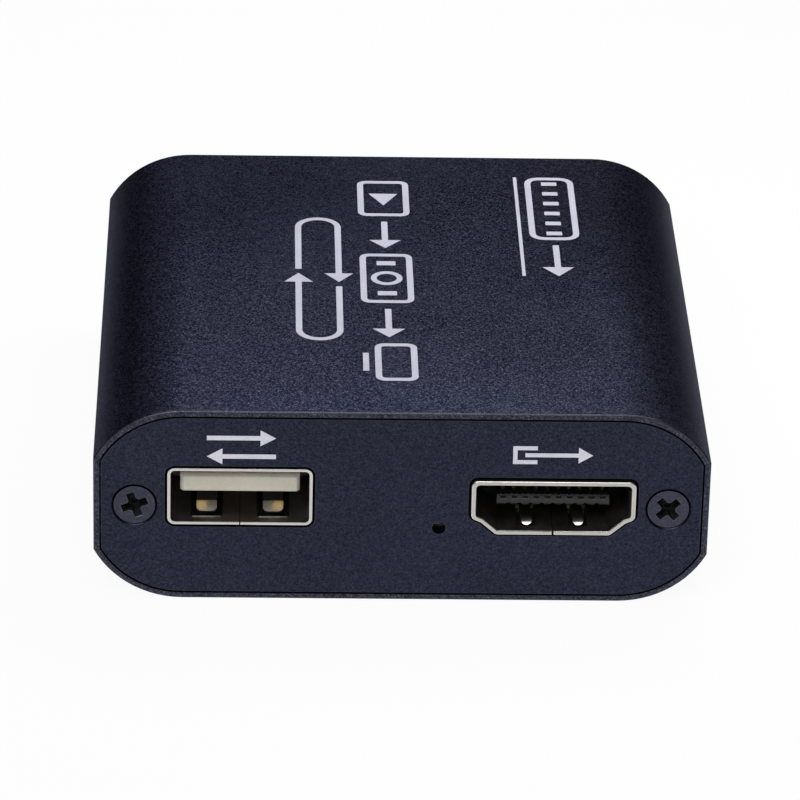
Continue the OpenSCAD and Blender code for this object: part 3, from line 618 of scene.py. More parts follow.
def buildScrew(node, pieceName):
    build = screwBuild
    low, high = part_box(node)
    inward = 1 if low.y < 0 else -1
    faceY = low.y if inward > 0 else high.y
    endY = high.y if inward > 0 else low.y
    neckY = faceY + inward * build["neck"] * mm
    bm = nodeCopy(node)
    everything = bm.verts[:] + bm.edges[:] + bm.faces[:]
    bmesh.ops.bisect_plane(
        bm, geom=everything, dist=cutNear, plane_co=(0, neckY, 0), plane_no=(0, inward, 0), clear_outer=True,
    )
    bmesh.ops.holes_fill(bm, edges=[edge for edge in bm.edges if edge.is_boundary], sides=200)
    axis = (low + high) / 2
    for vert in bm.verts:
        if math.hypot(vert.co.x - axis.x, vert.co.z - axis.z) > build["rim"] * mm:
            vert.co.x = axis.x + (vert.co.x - axis.x) * build["rimScale"]
            vert.co.z = axis.z + (vert.co.z - axis.z) * build["rimScale"]
    softenEdges(bm, build["edge"], lambda edge: edgeAt(edge, faceY))
    axis.y = neckY
    # Faces deep in the cross recess take the near-black finish: painted shade
    shallow, deep = build["recessDepth"]
    for face in bm.faces:
        centre = face.calc_center_median()
        depth = abs(centre.y - faceY) / mm
        reach = math.hypot(centre.x - axis.x, centre.z - axis.z) / mm
        if shallow < depth < deep and reach < build["recessReach"]:
            face.material_index = 1
    place = Matrix.Translation(axis) @ Matrix.Rotation(-inward * math.pi / 2, 4, "X")
    length = abs(endY - neckY) / mm
    core, top, taper = build["core"], -build["shankSunk"], length - build["tipLength"]
    profile = [(0, top), (core, top), (core, taper), (build["tipRadius"], length), (0, length)]
    turnProfile(bm, profile, place, steps=24)
    addThread(bm, build, length, place)
    finishPiece(bm, pieceName, node, ["blackScrew", "recessPaintedShade"], [node])


for screwEnd in ("front", "rear"):
    for screwSide in ("left", "right"):
        buildScrew(f"{screwEnd}_screw_{screwSide}", screwEnd + "Screw" + screwSide.title())
print("screws made")


# Sheet walls that face into a socket take a darker copy of the nickel: painted shade inside the socket
sheetBuild = {"brightDepth": 0.2, "slope": 0.3, "tipReach": 0.1, "upright": 0.5}


def paintShadeInside(bm, low, high, mouthY):
    centre = (low + high) / 2
    for face in bm.faces:
        place = face.calc_center_median()
        inward = Vector((centre.x - place.x, 0, centre.z - place.z))
        inside = face.normal.dot(inward) > 0 and abs(face.normal.y) < sheetBuild["slope"]
        if inside and abs(place.y - mouthY) > sheetBuild["brightDepth"] * mm:
            face.material_index = 1


# Rounds the free corners of the floor springs, which lie at a depth behind the mouth
def roundTips(bm, mouthY, depth, radius):
    def atTip(edge):
        across = edge.verts[0].co - edge.verts[1].co
        atDepth = abs(abs(middle(edge).y - mouthY) - depth * mm) < sheetBuild["tipReach"] * mm
        return atDepth and abs(across.z) > sheetBuild["upright"] * across.length

    softenEdges(bm, radius, atTip, segments=4, angle=60)


# Data socket
dataBuild = {
    "mouthEdge": 0.07, "tipDepth": 1.365, "tipRound": 0.5, "tongueEdge": 0.07, "tongueDepth": 2.0,
    "springX": 3.0, "floor": 1.05, "lip": {"half": 1.3, "depth": 1.08, "radius": 0.05, "soft": 0.6},
}


# Flared lips at the near end of the spring windows, in the bright finish
def addLips(bm, build, centreX):
    lip = build["lip"]
    place = Vector((0, frontY + lip["depth"] * mm, boardTop + build["floor"] * mm))
    reach = Vector((lip["half"], lip["radius"], lip["radius"])) * mm
    for side in (-1, 1):
        place.x = centreX + side * build["springX"] * mm
        addBlock(bm, place - reach, place + reach, lip["radius"] * lip["soft"])


def buildDataSocket(build):
    low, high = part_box("data_socket_shell")
    low.z = boardTop
    bm = nodeCopy("data_socket_shell")
    roundTips(bm, frontY, build["tipDepth"], build["tipRound"])
    paintShadeInside(bm, low, high, frontY)
    softenEdges(bm, build["mouthEdge"], lambda edge: all(vert.co.y < frontY + near for vert in edge.verts))
    addLips(bm, build, (low.x + high.x) / 2)
    sheets = ["nickelSheet", "nickelShadedInside"]
    finishPiece(bm, "dataSocketShell", "board", sheets, ["data_socket_shell"])
    bm = nodeCopy("data_socket_insulator")
    end = frontY + build["tongueDepth"] * mm
    softenEdges(bm, build["tongueEdge"], lambda edge: all(vert.co.y < end for vert in edge.verts), angle=25)
    finishPiece(bm, "dataSocketTongue", "board", "creamPlastic", ["data_socket_insulator"])


buildDataSocket(dataBuild)


# Video sockets: one at the front and one at the rear
videoBuild = {
    "mouthEdge": 0.13, "tipDepth": 1.095, "tipRound": 0.42, "tongueEdge": 0.05, "tongueDepth": 2.6,
    "springX": 2.35, "springHalf": 0.6, "springDepth": (0.95, 2.5), "springHigh": 2.0,
    "turnDepth": 1.27, "turn": 0.64,
}


# Turns the tips of the floor springs down, from a line at a depth behind the mouth
def turnTips(bm, build, mouthY, outward, centreX):
    shallow, deep = build["springDepth"]

    def inSpring(vert):
        across = abs(abs(vert.co.x - centreX) / mm - build["springX"])
        depth = (mouthY - vert.co.y) * outward / mm
        height = (vert.co.z - boardTop) / mm
        return across < build["springHalf"] and shallow < depth < deep and height < build["springHigh"]

    def allInSpring(item):
        return all(inSpring(vert) for vert in item.verts)

    verts = [vert for vert in bm.verts if inSpring(vert)]
    edges = [edge for edge in bm.edges if allInSpring(edge)]
    faces = [face for face in bm.faces if allInSpring(face)]
    lineY = mouthY - outward * build["turnDepth"] * mm
    bmesh.ops.bisect_plane(
        bm, geom=verts + edges + faces, dist=cutNear, plane_co=(0, lineY, 0), plane_no=(0, 1, 0),
    )
    for vert in bm.verts:
        past = (vert.co.y - lineY) * outward
        if past > 0 and inSpring(vert):
            vert.co.z -= past * build["turn"]
    # The turned tips go back to the plain nickel, out of the painted shade
    for face in bm.faces:
        if allInSpring(face) and (face.calc_center_median().y - lineY) * outward > 0:
            face.material_index = 0


def buildVideoSocket(node, pieceName, outward):
    build = videoBuild
    low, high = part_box(node + "_shell")
    low.z = boardTop
    mouthY = low.y if outward < 0 else high.y
    bm = nodeCopy(node + "_shell")
    roundTips(bm, mouthY, build["tipDepth"], build["tipRound"])
    paintShadeInside(bm, low, high, mouthY)
    turnTips(bm, build, mouthY, outward, (low.x + high.x) / 2)
    softenEdges(bm, build["mouthEdge"], lambda edge: edgeAt(edge, mouthY), segments=3)
    sheets = ["warmNickelSheet", "nickelShadedInside"]
    finishPiece(bm, pieceName + "Shell", "board", sheets, [node + "_shell"])
    bm = nodeCopy(node + "_insulator")
    depth = build["tongueDepth"] * mm
    # The tongue's bevels take the lighter worn colour: painted highlight lines inside the socket
    softenEdges(bm, build["tongueEdge"], lambda edge: edgeAt(edge, mouthY, depth), segments=1, angle=60)
    finishPiece(bm, pieceName + "Tongue", "board", "blackPlastic", [node + "_insulator"])


buildVideoSocket("video_out", "videoOut", -1)
buildVideoSocket("video_in", "videoIn", 1)


# Black film on the board under each socket: a dark sheet as painted shade, standing for the shade that shows
# through the spring windows
shadeFilmBuild = {"thick": 0.03, "soft": 0.3, "in": 1.4, "edge": 0.25, "long": 6.8}


def buildShadeFilms(build):
    bm = newMesh()
    for node in ("data_socket_shell", "video_out_shell", "video_in_shell"):
        low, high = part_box(node)
        low.z = boardTop
        high.z = boardTop + build["thick"] * mm
        low.x += build["in"] * mm
        high.x -= build["in"] * mm
        if low.y < 0:
            high.y = low.y + build["long"] * mm
            low.y = boardLow.y + build["edge"] * mm
        else:
            low.y = high.y - build["long"] * mm
            high.y = boardHigh.y - build["edge"] * mm
        addBlock(bm, low, high, build["thick"] * build["soft"])
    finishPiece(bm, "socketShadeFilms", "board", "blackPlastic", angle=38)


buildShadeFilms(shadeFilmBuild)
print("sockets made")


# Signs in white ink: flat shapes in a plane of u and v, in millimetres, given a thickness and placed
signBuild = {"thick": 0.012, "sunk": 0.004, "merged": 0.0001}


def flatBar(bm, u0, v0, u1, v1):
    centre = Matrix.Translation(((u0 + u1) / 2, (v0 + v1) / 2, 0))
    place = centre @ Matrix.Diagonal((u1 - u0, v1 - v0, 1, 1))
    return bmesh.ops.create_grid(bm, x_segments=1, y_segments=1, size=0.5, matrix=place)["verts"]


def flatHead(bm, tip, base, v, half):
    corners = [(tip, v), (base, v + half), (base, v - half)]
    bm.faces.new([bm.verts.new((u, w, 0)) for u, w in corners])


def flatArrow(bm, start, tip, v, line, head, half):
    neck = tip - head if tip > start else tip + head
    flatBar(bm, min(start, neck), v - line / 2, max(start, neck), v + line / 2)
    flatHead(bm, tip, neck, v, half)


def flatArc(bm, u, v, inner, outer, fromAngle, sweep, steps=16):
    a = math.radians(fromAngle)
    verts = [bm.verts.new((u + r * math.cos(a), v + r * math.sin(a), 0)) for r in (inner, outer)]
    edge = bm.edges.new(verts)
    bmesh.ops.spin(
        bm, geom=verts + [edge], cent=(u, v, 0), axis=(0, 0, 1), angle=math.radians(sweep), steps=steps,
        use_merge=abs(sweep) >= 360,
    )


def flatFrame(bm, u0, v0, u1, v1, line, corner):
    verts = flatBar(bm, u0, v0, u1, v1)
    made = bmesh.ops.bevel(
        bm, geom=verts, offset=corner, offset_type="OFFSET", affect="VERTICES",
        segments=4, profile=0.5, material=-1,
    )
    face = made["faces"][0] if made["faces"] else made["verts"][0].link_faces[0]
    bmesh.ops.inset_region(bm, faces=[face], thickness=line, use_boundary=True, use_even_offset=True)
    bmesh.ops.delete(bm, geom=[face], context="FACES")


def layRibbon(bm, points, line):
    rows = []
    for i, point in enumerate(points):
        before = (point - points[i - 1]).normalized() if i else (points[1] - point).normalized()
        after = (points[i + 1] - point).normalized() if i + 1 < len(points) else before
        along = (before + after).normalized()
        side = Vector((-along.y, along.x)) * (line / 2 / along.dot(after))
        rows.append([bm.verts.new((*(point + side * turn), 0)) for turn in (1, -1)])
    for (a, b), (c, d) in zip(rows, rows[1:]):
        bm.faces.new((a, b, d, c))


# Gives flat shapes a thickness, turns them to face along n and puts them at a place
def layFlat(bm, thick, place, sunk=0.0):
    for face in bm.faces:
        if face.normal.z < 0:
            face.normal_flip()
    bmesh.ops.remove_doubles(bm, verts=bm.verts[:], dist=signBuild["merged"])
    up = bmesh.ops.extrude_face_region(bm, geom=bm.faces[:], use_keep_orig=True)["geom"]
    raised = [item for item in up if isinstance(item, bmesh.types.BMVert)]
    bmesh.ops.translate(bm, verts=raised, vec=(0, 0, thick))
    bmesh.ops.translate(bm, verts=bm.verts[:], vec=(0, 0, -sunk))
    bmesh.ops.recalc_face_normals(bm, faces=bm.faces[:])
    bmesh.ops.transform(bm, matrix=place @ Matrix.Scale(mm, 4), verts=bm.verts[:])


# Planes that carry signs: u, v and n as columns, and the point that u and v start from
def signPlane(u, v, n, start):
    return Matrix.Translation(start) @ Matrix((u, v, n)).transposed().to_4x4()


frontPlane = signPlane((1, 0, 0), (0, 0, 1), (0, -1, 0), (0, frontY, 0))
rearPlane = signPlane((-1, 0, 0), (0, 0, 1), (0, 1, 0), (0, rearY, 0))
topPlane = signPlane((0, -1, 0), (1, 0, 0), (0, 0, 1), (0, 0, topZ))


def finishSign(bm, name, body, place):
    layFlat(bm, signBuild["thick"] + signBuild["sunk"], place, signBuild["sunk"])
    # Signs on the top take the darker copy of the ink: painted shade
    finishPiece(bm, name, body, "topInk" if body == "shell" else "signInk")


# Arrows both ways, over the data socket
dataSign = {"from": -17.6, "to": -11.4, "levels": (16.35, 14.5), "line": 0.45, "head": 1.4, "half": 0.8}


def buildDataSign(sign):
    bm = newMesh()
    upper, lower = sign["levels"]
    flatArrow(bm, sign["from"], sign["to"], upper, sign["line"], sign["head"], sign["half"])
    flatArrow(bm, sign["to"], sign["from"], lower, sign["line"], sign["head"], sign["half"])
    finishSign(bm, "dataSign", "front_panel", frontPlane)


# An open box that an arrow leaves or enters, over a video socket
videoSign = {"low": 14.0, "high": 15.8, "box": 2.2, "line": 0.4, "head": 1.3, "arrowIn": 1.1}
outSign = {**videoSign, "from": 9.9, "to": 17.1, "half": 0.8, "leaving": True}
inSign = {**videoSign, "from": -3.6, "to": 3.6, "half": 0.48, "leaving": False}


def buildVideoSign(sign, name, body, place):
    bm = newMesh()
    line = sign["line"]
    level = (sign["low"] + sign["high"]) / 2
    start, end = sign["from"], sign["to"]
    wallU = start if sign["leaving"] else end - line
    armU = wallU + line if sign["leaving"] else end - sign["box"]
    flatBar(bm, wallU, sign["low"] + line, wallU + line, sign["high"] - line)
    for v in (sign["low"], sign["high"] - line):
        flatBar(bm, wallU, v, wallU + line, v + line)
        flatBar(bm, armU, v, armU + sign["box"] - line, v + line)
    if sign["leaving"]:
        start += sign["arrowIn"]
    else:
        end -= sign["arrowIn"]
    flatArrow(bm, start, end, level, line, sign["head"], sign["half"])
    finishSign(bm, name, body, place)


# A picture's path from a player through the box to a screen
pathSign = {
    "v": -1.0, "half": 2.5, "line": 0.6, "corner": 0.9, "head": 1.8, "headHalf": 1.5,
    "player": (-22.2, -14.0), "play": (-16.5, -19.2), "playHalf": 1.4, "arrows": ((-12.7, -6.7), (6.7, 12.7)),
    "box": (-5.4, 5.4), "ring": (0.95, 1.5), "barsU": (-3.3, 3.3), "barHalf": (0.45, 0.9),
    "screen": (14.0, 21.7), "stand": (16.0, 19.7), "standGap": 1.1, "standLine": 0.55,
}


def buildPathSign(sign):
    bm = newMesh()
    v, line, corner = sign["v"], sign["line"], sign["corner"]
    low, high = v - sign["half"], v + sign["half"]

    def addFrame(name, base):
        start, end = sign[name]
        flatFrame(bm, start, base, end, high, line, corner)

    addFrame("player", low)
    flatHead(bm, *sign["play"], v, sign["playHalf"])
    addFrame("box", low)
    flatArc(bm, 0, v, *sign["ring"], 0, 360, 32)
    barU, barV = sign["barHalf"]
    for u in sign["barsU"]:
        flatBar(bm, u - barU, v - barV, u + barU, v + barV)
    for start, tip in sign["arrows"]:
        flatArrow(bm, start, tip, v, line, sign["head"], sign["headHalf"])
    addFrame("screen", low + sign["standGap"])
    start, end = sign["stand"]
    flatBar(bm, start, low, end, low + sign["standLine"])
    finishSign(bm, "pathSign", "shell", topPlane)


# Two runs that turn back into each other
loopSign = {"v": -7.4, "radius": 1.9, "reach": 11.3, "line": 0.6, "head": 1.9, "headHalf": 1.35}


def buildLoopSign(sign):
    bm = newMesh()
    v, radius, line, reach = sign["v"], sign["radius"], sign["line"], sign["reach"]
    for way in (1, -1):
        flatArc(bm, -reach * way, v, radius - line / 2, radius + line / 2, 90 * way, 180, 20)
        level = v + way * radius
        flatArrow(bm, -reach * way, sign["head"] * 0.5 * way, level, line, sign["head"], sign["headHalf"])
        ends = sorted((sign["head"] * way, reach * way))
        flatBar(bm, ends[0], level - line / 2, ends[1], level + line / 2)
    finishSign(bm, "loopSign", "shell", topPlane)


# A plug's face with its pins, an arrow, and a thin rule below them
plugSign = {
    "from": -23.4, "to": -0.8, "v": 15.3, "half": 2.4, "line": 0.6, "long": 14.5, "corner": 1.4,
    "pins": 6, "pinIn": 1.5, "pinHalf": (0.4, 0.75), "gap": 1.2, "head": 2.0, "headHalf": 1.5,
    "ruleV": 12.0, "ruleHalf": 0.17,
}


def buildPlugSign(sign):
    bm = newMesh()
    v, half, line = sign["v"], sign["half"], sign["line"]
    start, end = sign["from"], sign["to"]
    frameEnd = start + sign["long"]
    flatFrame(bm, start, v - half, frameEnd, v + half, line, sign["corner"])
    step = (sign["long"] - 2 * sign["pinIn"]) / (sign["pins"] - 1)
    pinU, pinV = sign["pinHalf"]
    for i in range(sign["pins"]):
        u = start + sign["pinIn"] + i * step
        flatBar(bm, u - pinU, v - pinV, u + pinU, v + pinV)
    flatArrow(bm, frameEnd + sign["gap"], end, v, line, sign["head"], sign["headHalf"])
    flatBar(bm, start, sign["ruleV"] - sign["ruleHalf"], end, sign["ruleV"] + sign["ruleHalf"])
    finishSign(bm, "plugSign", "shell", topPlane)


buildDataSign(dataSign)
buildVideoSign(outSign, "outSign", "front_panel", frontPlane)
buildVideoSign(inSign, "inSign", "rear_panel", rearPlane)
buildPathSign(pathSign)
buildLoopSign(loopSign)
buildPlugSign(plugSign)
print("signs made")


# Small parts with a metal cap on each end
smallBuild = {"body": (0.05, 0.95), "cap": 0.24, "inset": 0.02, "edge": 0.05}


# Part of a box between two shares of its longer side, pulled in on its other sides
def boxSlice(low, high, fromShare, toShare, inset=0.0):
    a, b = low.copy(), high.copy()
    along = longSide(low, high)
    a[1 - along] += inset * mm
    b[1 - along] -= inset * mm
    b.z -= inset * mm
    span = high[along] - low[along]
    a[along] = low[along] + span * fromShare
    b[along] = low[along] + span * toShare
    return a, b


def buildCappedParts(node, pieceName, finish):
    build = smallBuild
    bm = newMesh()
    for low, high in looseBoxes(node):
        addBlock(bm, *boxSlice(low, high, *build["body"], build["inset"]), build["edge"], segments=1)
        for ends in ((0.0, build["cap"]), (1 - build["cap"], 1.0)):
            addBlock(bm, *boxSlice(low, high, *ends), build["edge"], finish=1)
    finishPiece(bm, pieceName, "board", [finish, "tinnedLead"], [node], angle=40)


buildCappedParts("chip_capacitors", "chipCapacitors", "ceramicTan")
buildCappedParts("chip_resistors", "chipResistors", "chipBlack")


# Moulded packages: sides drawn in above and below a middle ring, and a round mark beside the first lead
packageBuild = {
    "capture_chip": {"name": "captureChip", "draft": 0.12, "edge": 0.06, "mark": 0.42, "markIn": 0.95},
    "splitter_chip": {"name": "splitterChip", "draft": 0.0, "edge": 0.03, "mark": 0.3, "markIn": 0.8},
    "memory_chip": {"name": "memoryChip", "draft": 0.12, "edge": 0.06, "mark": 0.3, "markIn": 0.7},
    "regulators": {"name": "regulatorBodies", "draft": 0.14, "edge": 0.08, "mark": 0.0, "markIn": 0.0},
    "surge_arrays": {"name": "surgeArrays", "draft": 0.03, "edge": 0.03, "mark": 0.11, "markIn": 0.25},
}
markBuild = {"flat": 0.8, "heights": (0.002, 0.004, 0.014), "foot": 0.03, "sunk": 0.01, "drop": 0.001}


def addPackage(bm, low, high, draft):
    first = len(bm.verts)
    made = addCube(bm, low, high)
    edges = {edge for vert in made for edge in vert.link_edges}
    uprights = [edge for edge in edges if abs(edge.verts[0].co.z - edge.verts[1].co.z) > near]
    bmesh.ops.subdivide_edges(bm, edges=uprights, cuts=1)
    centre = (low + high) / 2
    bm.verts.ensure_lookup_table()
    for vert in bm.verts[first:]:
        if abs(vert.co.z - centre.z) > near:
            vert.co.x += draft * mm if vert.co.x < centre.x else -draft * mm
            vert.co.y += draft * mm if vert.co.y < centre.y else -draft * mm


# A round mark: a shallow dish with a raised rim
def addMark(bm, radius, place):
    build = markBuild
    centre, bend, rim = build["heights"]
    foot = (radius + build["foot"], 0.0)
    dish = [(0, centre), (radius * build["flat"], bend), (radius, rim), foot, (0, -build["sunk"])]
    turnProfile(bm, dish, Matrix.Translation(place - Vector((0, 0, build["drop"] * mm))), steps=20)


def buildPackage(node, build):
    bm = newMesh()
    boxes = looseBoxes(node)
    for low, high in boxes:
        addPackage(bm, low, high, build["draft"])
    softenEdges(bm, build["edge"])
    if build["mark"]:
        inward = build["markIn"] * mm
        for low, high in boxes:
            addMark(bm, build["mark"], Vector((low.x + inward, high.y - inward, high.z)))
    finishPiece(bm, build["name"], "board", "chipBlack", [node])


for packageNode, packageSettings in packageBuild.items():
    buildPackage(packageNode, packageSettings)


# Bare metal on the board: pads under leads and caps, and the edge pads of the flat chip
padBuild = {
    "thick": 0.03, "wider": 0.05, "past": 0.28, "foot": 0.55,
    "edgePads": 14, "edgePitch": 0.56, "edgeHalf": 0.14, "edgeReach": 0.22,
    "edgeHigh": 0.2, "edgeProud": 0.012,
}


# A pad on the board: its box from above, and a little wider than the lead or cap on it
def addPad(bm, low, high, along, start, end):
    build = padBuild
    a, b = low.copy(), high.copy()
    a[1 - along] -= build["wider"] * mm
    b[1 - along] += build["wider"] * mm
    a[along], b[along] = start, end
    a.z = boardTop
    b.z = boardTop + build["thick"] * mm
    addBlock(bm, a, b)


def addFootPads(bm, leadNode, chipNode):
    build = padBuild
    past = build["past"] * mm
    chips = [(low + high) / 2 for low, high in looseBoxes(chipNode)]
    halves = [(high - low) / 2 for low, high in looseBoxes(chipNode)]
    for low, high in looseBoxes(leadNode):
        at = (low + high) / 2
        nearest = min(range(len(chips)), key=lambda i: (chips[i] - at).length)
        away = at - chips[nearest]
        along = 0 if abs(away.x) - halves[nearest].x > abs(away.y) - halves[nearest].y else 1
        foot = (high[along] - low[along]) * build["foot"]
        if away[along] > 0:
            addPad(bm, low, high, along, high[along] - foot, high[along] + past)
        else:
            addPad(bm, low, high, along, low[along] - past, low[along] + foot)


def addCapPads(bm, node):
    past = padBuild["past"] * mm
    for low, high in looseBoxes(node):
        along = longSide(low, high)
        for end in (low[along], high[along]):
            addPad(bm, low, high, along, end - past, end + past)


def addEdgePads(bm, node):
    build = padBuild
    low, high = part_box(node)
    centre = (low + high) / 2
    first = -(build["edgePads"] - 1) / 2 * build["edgePitch"]
    half = build["edgeHalf"] * mm
    shapes = ((build["edgeReach"], build["thick"]), (build["edgeProud"], build["edgeHigh"]))
    for i in range(build["edgePads"]):
        shift = (first + i * build["edgePitch"]) * mm
        for across in (1, 0):
            for edge in (low[across], high[across]):
                for reach, height in shapes:
                    a = Vector((centre.x + shift - half, centre.y + shift - half, low.z))
                    b = Vector((centre.x + shift + half, centre.y + shift + half, low.z + height * mm))
                    a[across] = edge - reach * mm
                    b[across] = edge + reach * mm
                    addBlock(bm, a, b)


def buildPads():
    bm = newMesh()
    addFootPads(bm, "capture_chip_leads", "capture_chip")
    addFootPads(bm, "memory_chip_leads", "memory_chip")
    addFootPads(bm, "regulator_leads", "regulators")
    for node in ("chip_capacitors", "chip_resistors", "surge_arrays", "crystals"):
        addCapPads(bm, node)
    addEdgePads(bm, "splitter_chip")
    finishPiece(bm, "boardPads", "board", "tinnedLead")


buildPads()


# Inductors: pressed blocks with a round core on top and a metal tab at each end
inductorBuild = {
    "edge": 0.14, "core": 1.55, "ring": 1.3, "crown": 0.02, "groove": 0.06, "lip": 0.015, "foot": 0.05,
    "sunk": 0.03, "tabHalf": 0.75, "tabHigh": 0.9, "tabThick": 0.06, "tabEdge": 0.03,
}


def buildInductors(build):
    bm = nodeCopy("inductors")
    softenEdges(bm, build["edge"])
    core, ring, top, base = build["core"], build["ring"], build["crown"], -build["sunk"]
    crown = [(0, top), (ring, top), (ring + build["groove"], -top)]
    crown += [(core, build["lip"]), (core + build["foot"], base), (0, base)]
    for low, high in looseBoxes("inductors"):
        centre = (low + high) / 2
        turnProfile(bm, crown, Matrix.Translation((centre.x, centre.y, high.z)), steps=32)
        for edge in (low.x, high.x):
            place = Vector((edge, centre.y, low.z))
            addTab(bm, place, build["tabThick"], build["tabHalf"], build["tabHigh"], build["tabEdge"])
    finishPiece(bm, "inductorBlocks", "board", ["ferriteGrey", "tinnedLead"], ["inductors"])


buildInductors(inductorBuild)


# Bulk capacitors: drawn cans with a scored, half printed top, on moulded bases with two feet
canBuild = {
    "rim": 0.22, "print": (0.02, 2.55), "printTurn": (200, 140), "score": 1.9, "scoreLine": 0.07,
    "inkThick": 0.02, "inkSunk": 0.008, "baseEdge": 0.12, "footHalf": 0.4, "footHigh": 0.18, "footEdge": 0.04,
}


def buildCans(build):
    bm = nodeCopy("bulk_capacitor_cans")
    halfway = topZ / 2
    softenEdges(
        bm, build["rim"], lambda edge: all(vert.co.z > halfway for vert in edge.verts), segments=3, angle=20,
    )
    finishPiece(bm, "bulkCans", "board", "canAluminium", ["bulk_capacitor_cans"], angle=25)
    for i, (low, high) in enumerate(looseBoxes("bulk_capacitor_cans")):
        centre = (low + high) / 2
        bm = newMesh()
        flatArc(bm, 0, 0, *build["print"], *build["printTurn"], 24)
        reach, half = build["score"], build["scoreLine"] / 2
        for turn in (0, 60, 120):
            verts = flatBar(bm, -reach, -half, reach, half)
            bmesh.ops.rotate(bm, verts=verts, matrix=Matrix.Rotation(math.radians(turn), 3, "Z"))
        layFlat(bm, build["inkThick"], Matrix.Translation((centre.x, centre.y, high.z)), build["inkSunk"])
        finishPiece(bm, "canPrint" + str(i + 1), "board", "blackPlastic")
    bm = nodeCopy("bulk_capacitor_bases")
    softenEdges(bm, build["baseEdge"])
    for low, high in looseBoxes("bulk_capacitor_bases"):
        for edge in (low.y, high.y):
            place = Vector(((low.x + high.x) / 2, edge, low.z))
            addTab(bm, place, build["footHalf"], build["footHalf"], build["footHigh"], build["footEdge"])
    moulded = ["blackPlastic", "tinnedLead"]
    finishPiece(bm, "canBases", "board", moulded, ["bulk_capacitor_bases"])


buildCans(canBuild)


# Crystals: a ceramic tray with a rolled metal lid
crystalBuild = {"tray": 0.45, "trayEdge": 0.06, "lidIn": 0.14, "lidEdge": 0.1}


def buildCrystals(build):
    bm = newMesh()
    for low, high in looseBoxes("crystals"):
        seam = low.z + (high.z - low.z) * build["tray"]
        inset = Vector((build["lidIn"] * mm, build["lidIn"] * mm, 0))
        addBlock(bm, low, Vector((high.x, high.y, seam)), build["trayEdge"], segments=1, finish=1)
        addBlock(bm, Vector((low.x, low.y, seam)) + inset, high - inset, build["lidEdge"], segments=3)
    sheets = ["nickelSheet", "ceramicTan"]
    finishPiece(bm, "crystalCans", "board", sheets, ["crystals"], angle=35)


buildCrystals(crystalBuild)


# Status light: a clear block with its lens toward the panel's hole
lightBuild = {"edge": 0.07}


def buildStatusLight(build):
    bm = nodeCopy("status_light")
    softenEdges(bm, build["edge"])
    finishPiece(bm, "statusLight", "board", "lightClear", ["status_light"])


buildStatusLight(lightBuild)
print("board parts made")


# Solder joints where legs and tails come through the board. The radii are shares of the hole with its rim
solderBuild = {
    "rim": 0.34, "widestHole": 20,
    "profile": ((0, -0.02), (1, -0.02), (1, 0.01), (0.94, 0.08), (0.66, 0.26), (0.45, 0.55), (0, 0.62)),
}


# Boxes of the holes and slots in the board, found from the walls that stand inside its outline
def boardHoles(widest):
    bm = nodeCopy("main_board")
    walls = {face for face in bm.faces if abs(face.normal.z) < 0.1}
    boxes = []
    while walls:
        group = [walls.pop()]
        for face in group:
            joined = {other for edge in face.edges for other in edge.link_faces} & walls
            walls -= joined
            group.extend(joined)
        low, high = boxAround([vert.co for face in group for vert in face.verts])
        if high.x - low.x < widest * mm:
            boxes.append((low, high))
    bm.free()
    return inRows(boxes)


def underBoard(x, y):
    return Matrix.Translation((x, y, boardLow.z)) @ Matrix.Rotation(math.pi, 4, "X")


def buildSolder(build):
    bm = newMesh()
    for low, high in boardHoles(build["widestHole"]):
        centre = (low + high) / 2
        half = (high - low) / 2 / mm
        scale = Matrix.Diagonal((half.x + build["rim"], half.y + build["rim"], 1, 1))
        turnProfile(bm, build["profile"], underBoard(centre.x, centre.y) @ scale, steps=20)
    finishPiece(bm, "solderJoints", "board", "tinnedLead", angle=40)


buildSolder(solderBuild)


# Copper under the mask, as thin raised ribbons. Each run is a row of corner points, for the line numbered i
upperPlane = Matrix.Translation((0, 0, boardTop))
lowerPlane = signPlane((-1, 0, 0), (0, 1, 0), (0, 0, -1), (0, 0, boardLow.z))


# From the video output to the splitter
def outputRun(i):
    start, end = 10.0 + 2.4 * i, 5.9 + 2.0 * i
    return [(start, -16.3), (start, -9.0), (end, -4.9 + 0.4 * i), (end, -3.3)]


# From the memory round to the capture chip in front of it
def memoryRun(i):
    high, low, out = 3.1 + 1.27 * i, -1.9 - 0.3 * i, -17.9 - 0.6 * i
    down = [(-16.8, high), (out + 0.4, high), (out, high - 0.4), (out, -0.6 - 0.9 * i)]
    return down + [(-16.6, low), (-15.2, low)]


# From the capture chip to the splitter
def busRun(i):
    start, end = -4.5 + 0.5 * i, -2.6 + 0.5 * i
    return [(-5.7, start), (-0.4, start), (1.5, end), (4.2, end)]


# Across the underside
def underRun(i):
    low = -21.0 + 5.2 * i
    high = low + 1.4
    return [(-19 + i % 3, low), (-6, low), (-4.6, high), (19 - i % 4, high)]


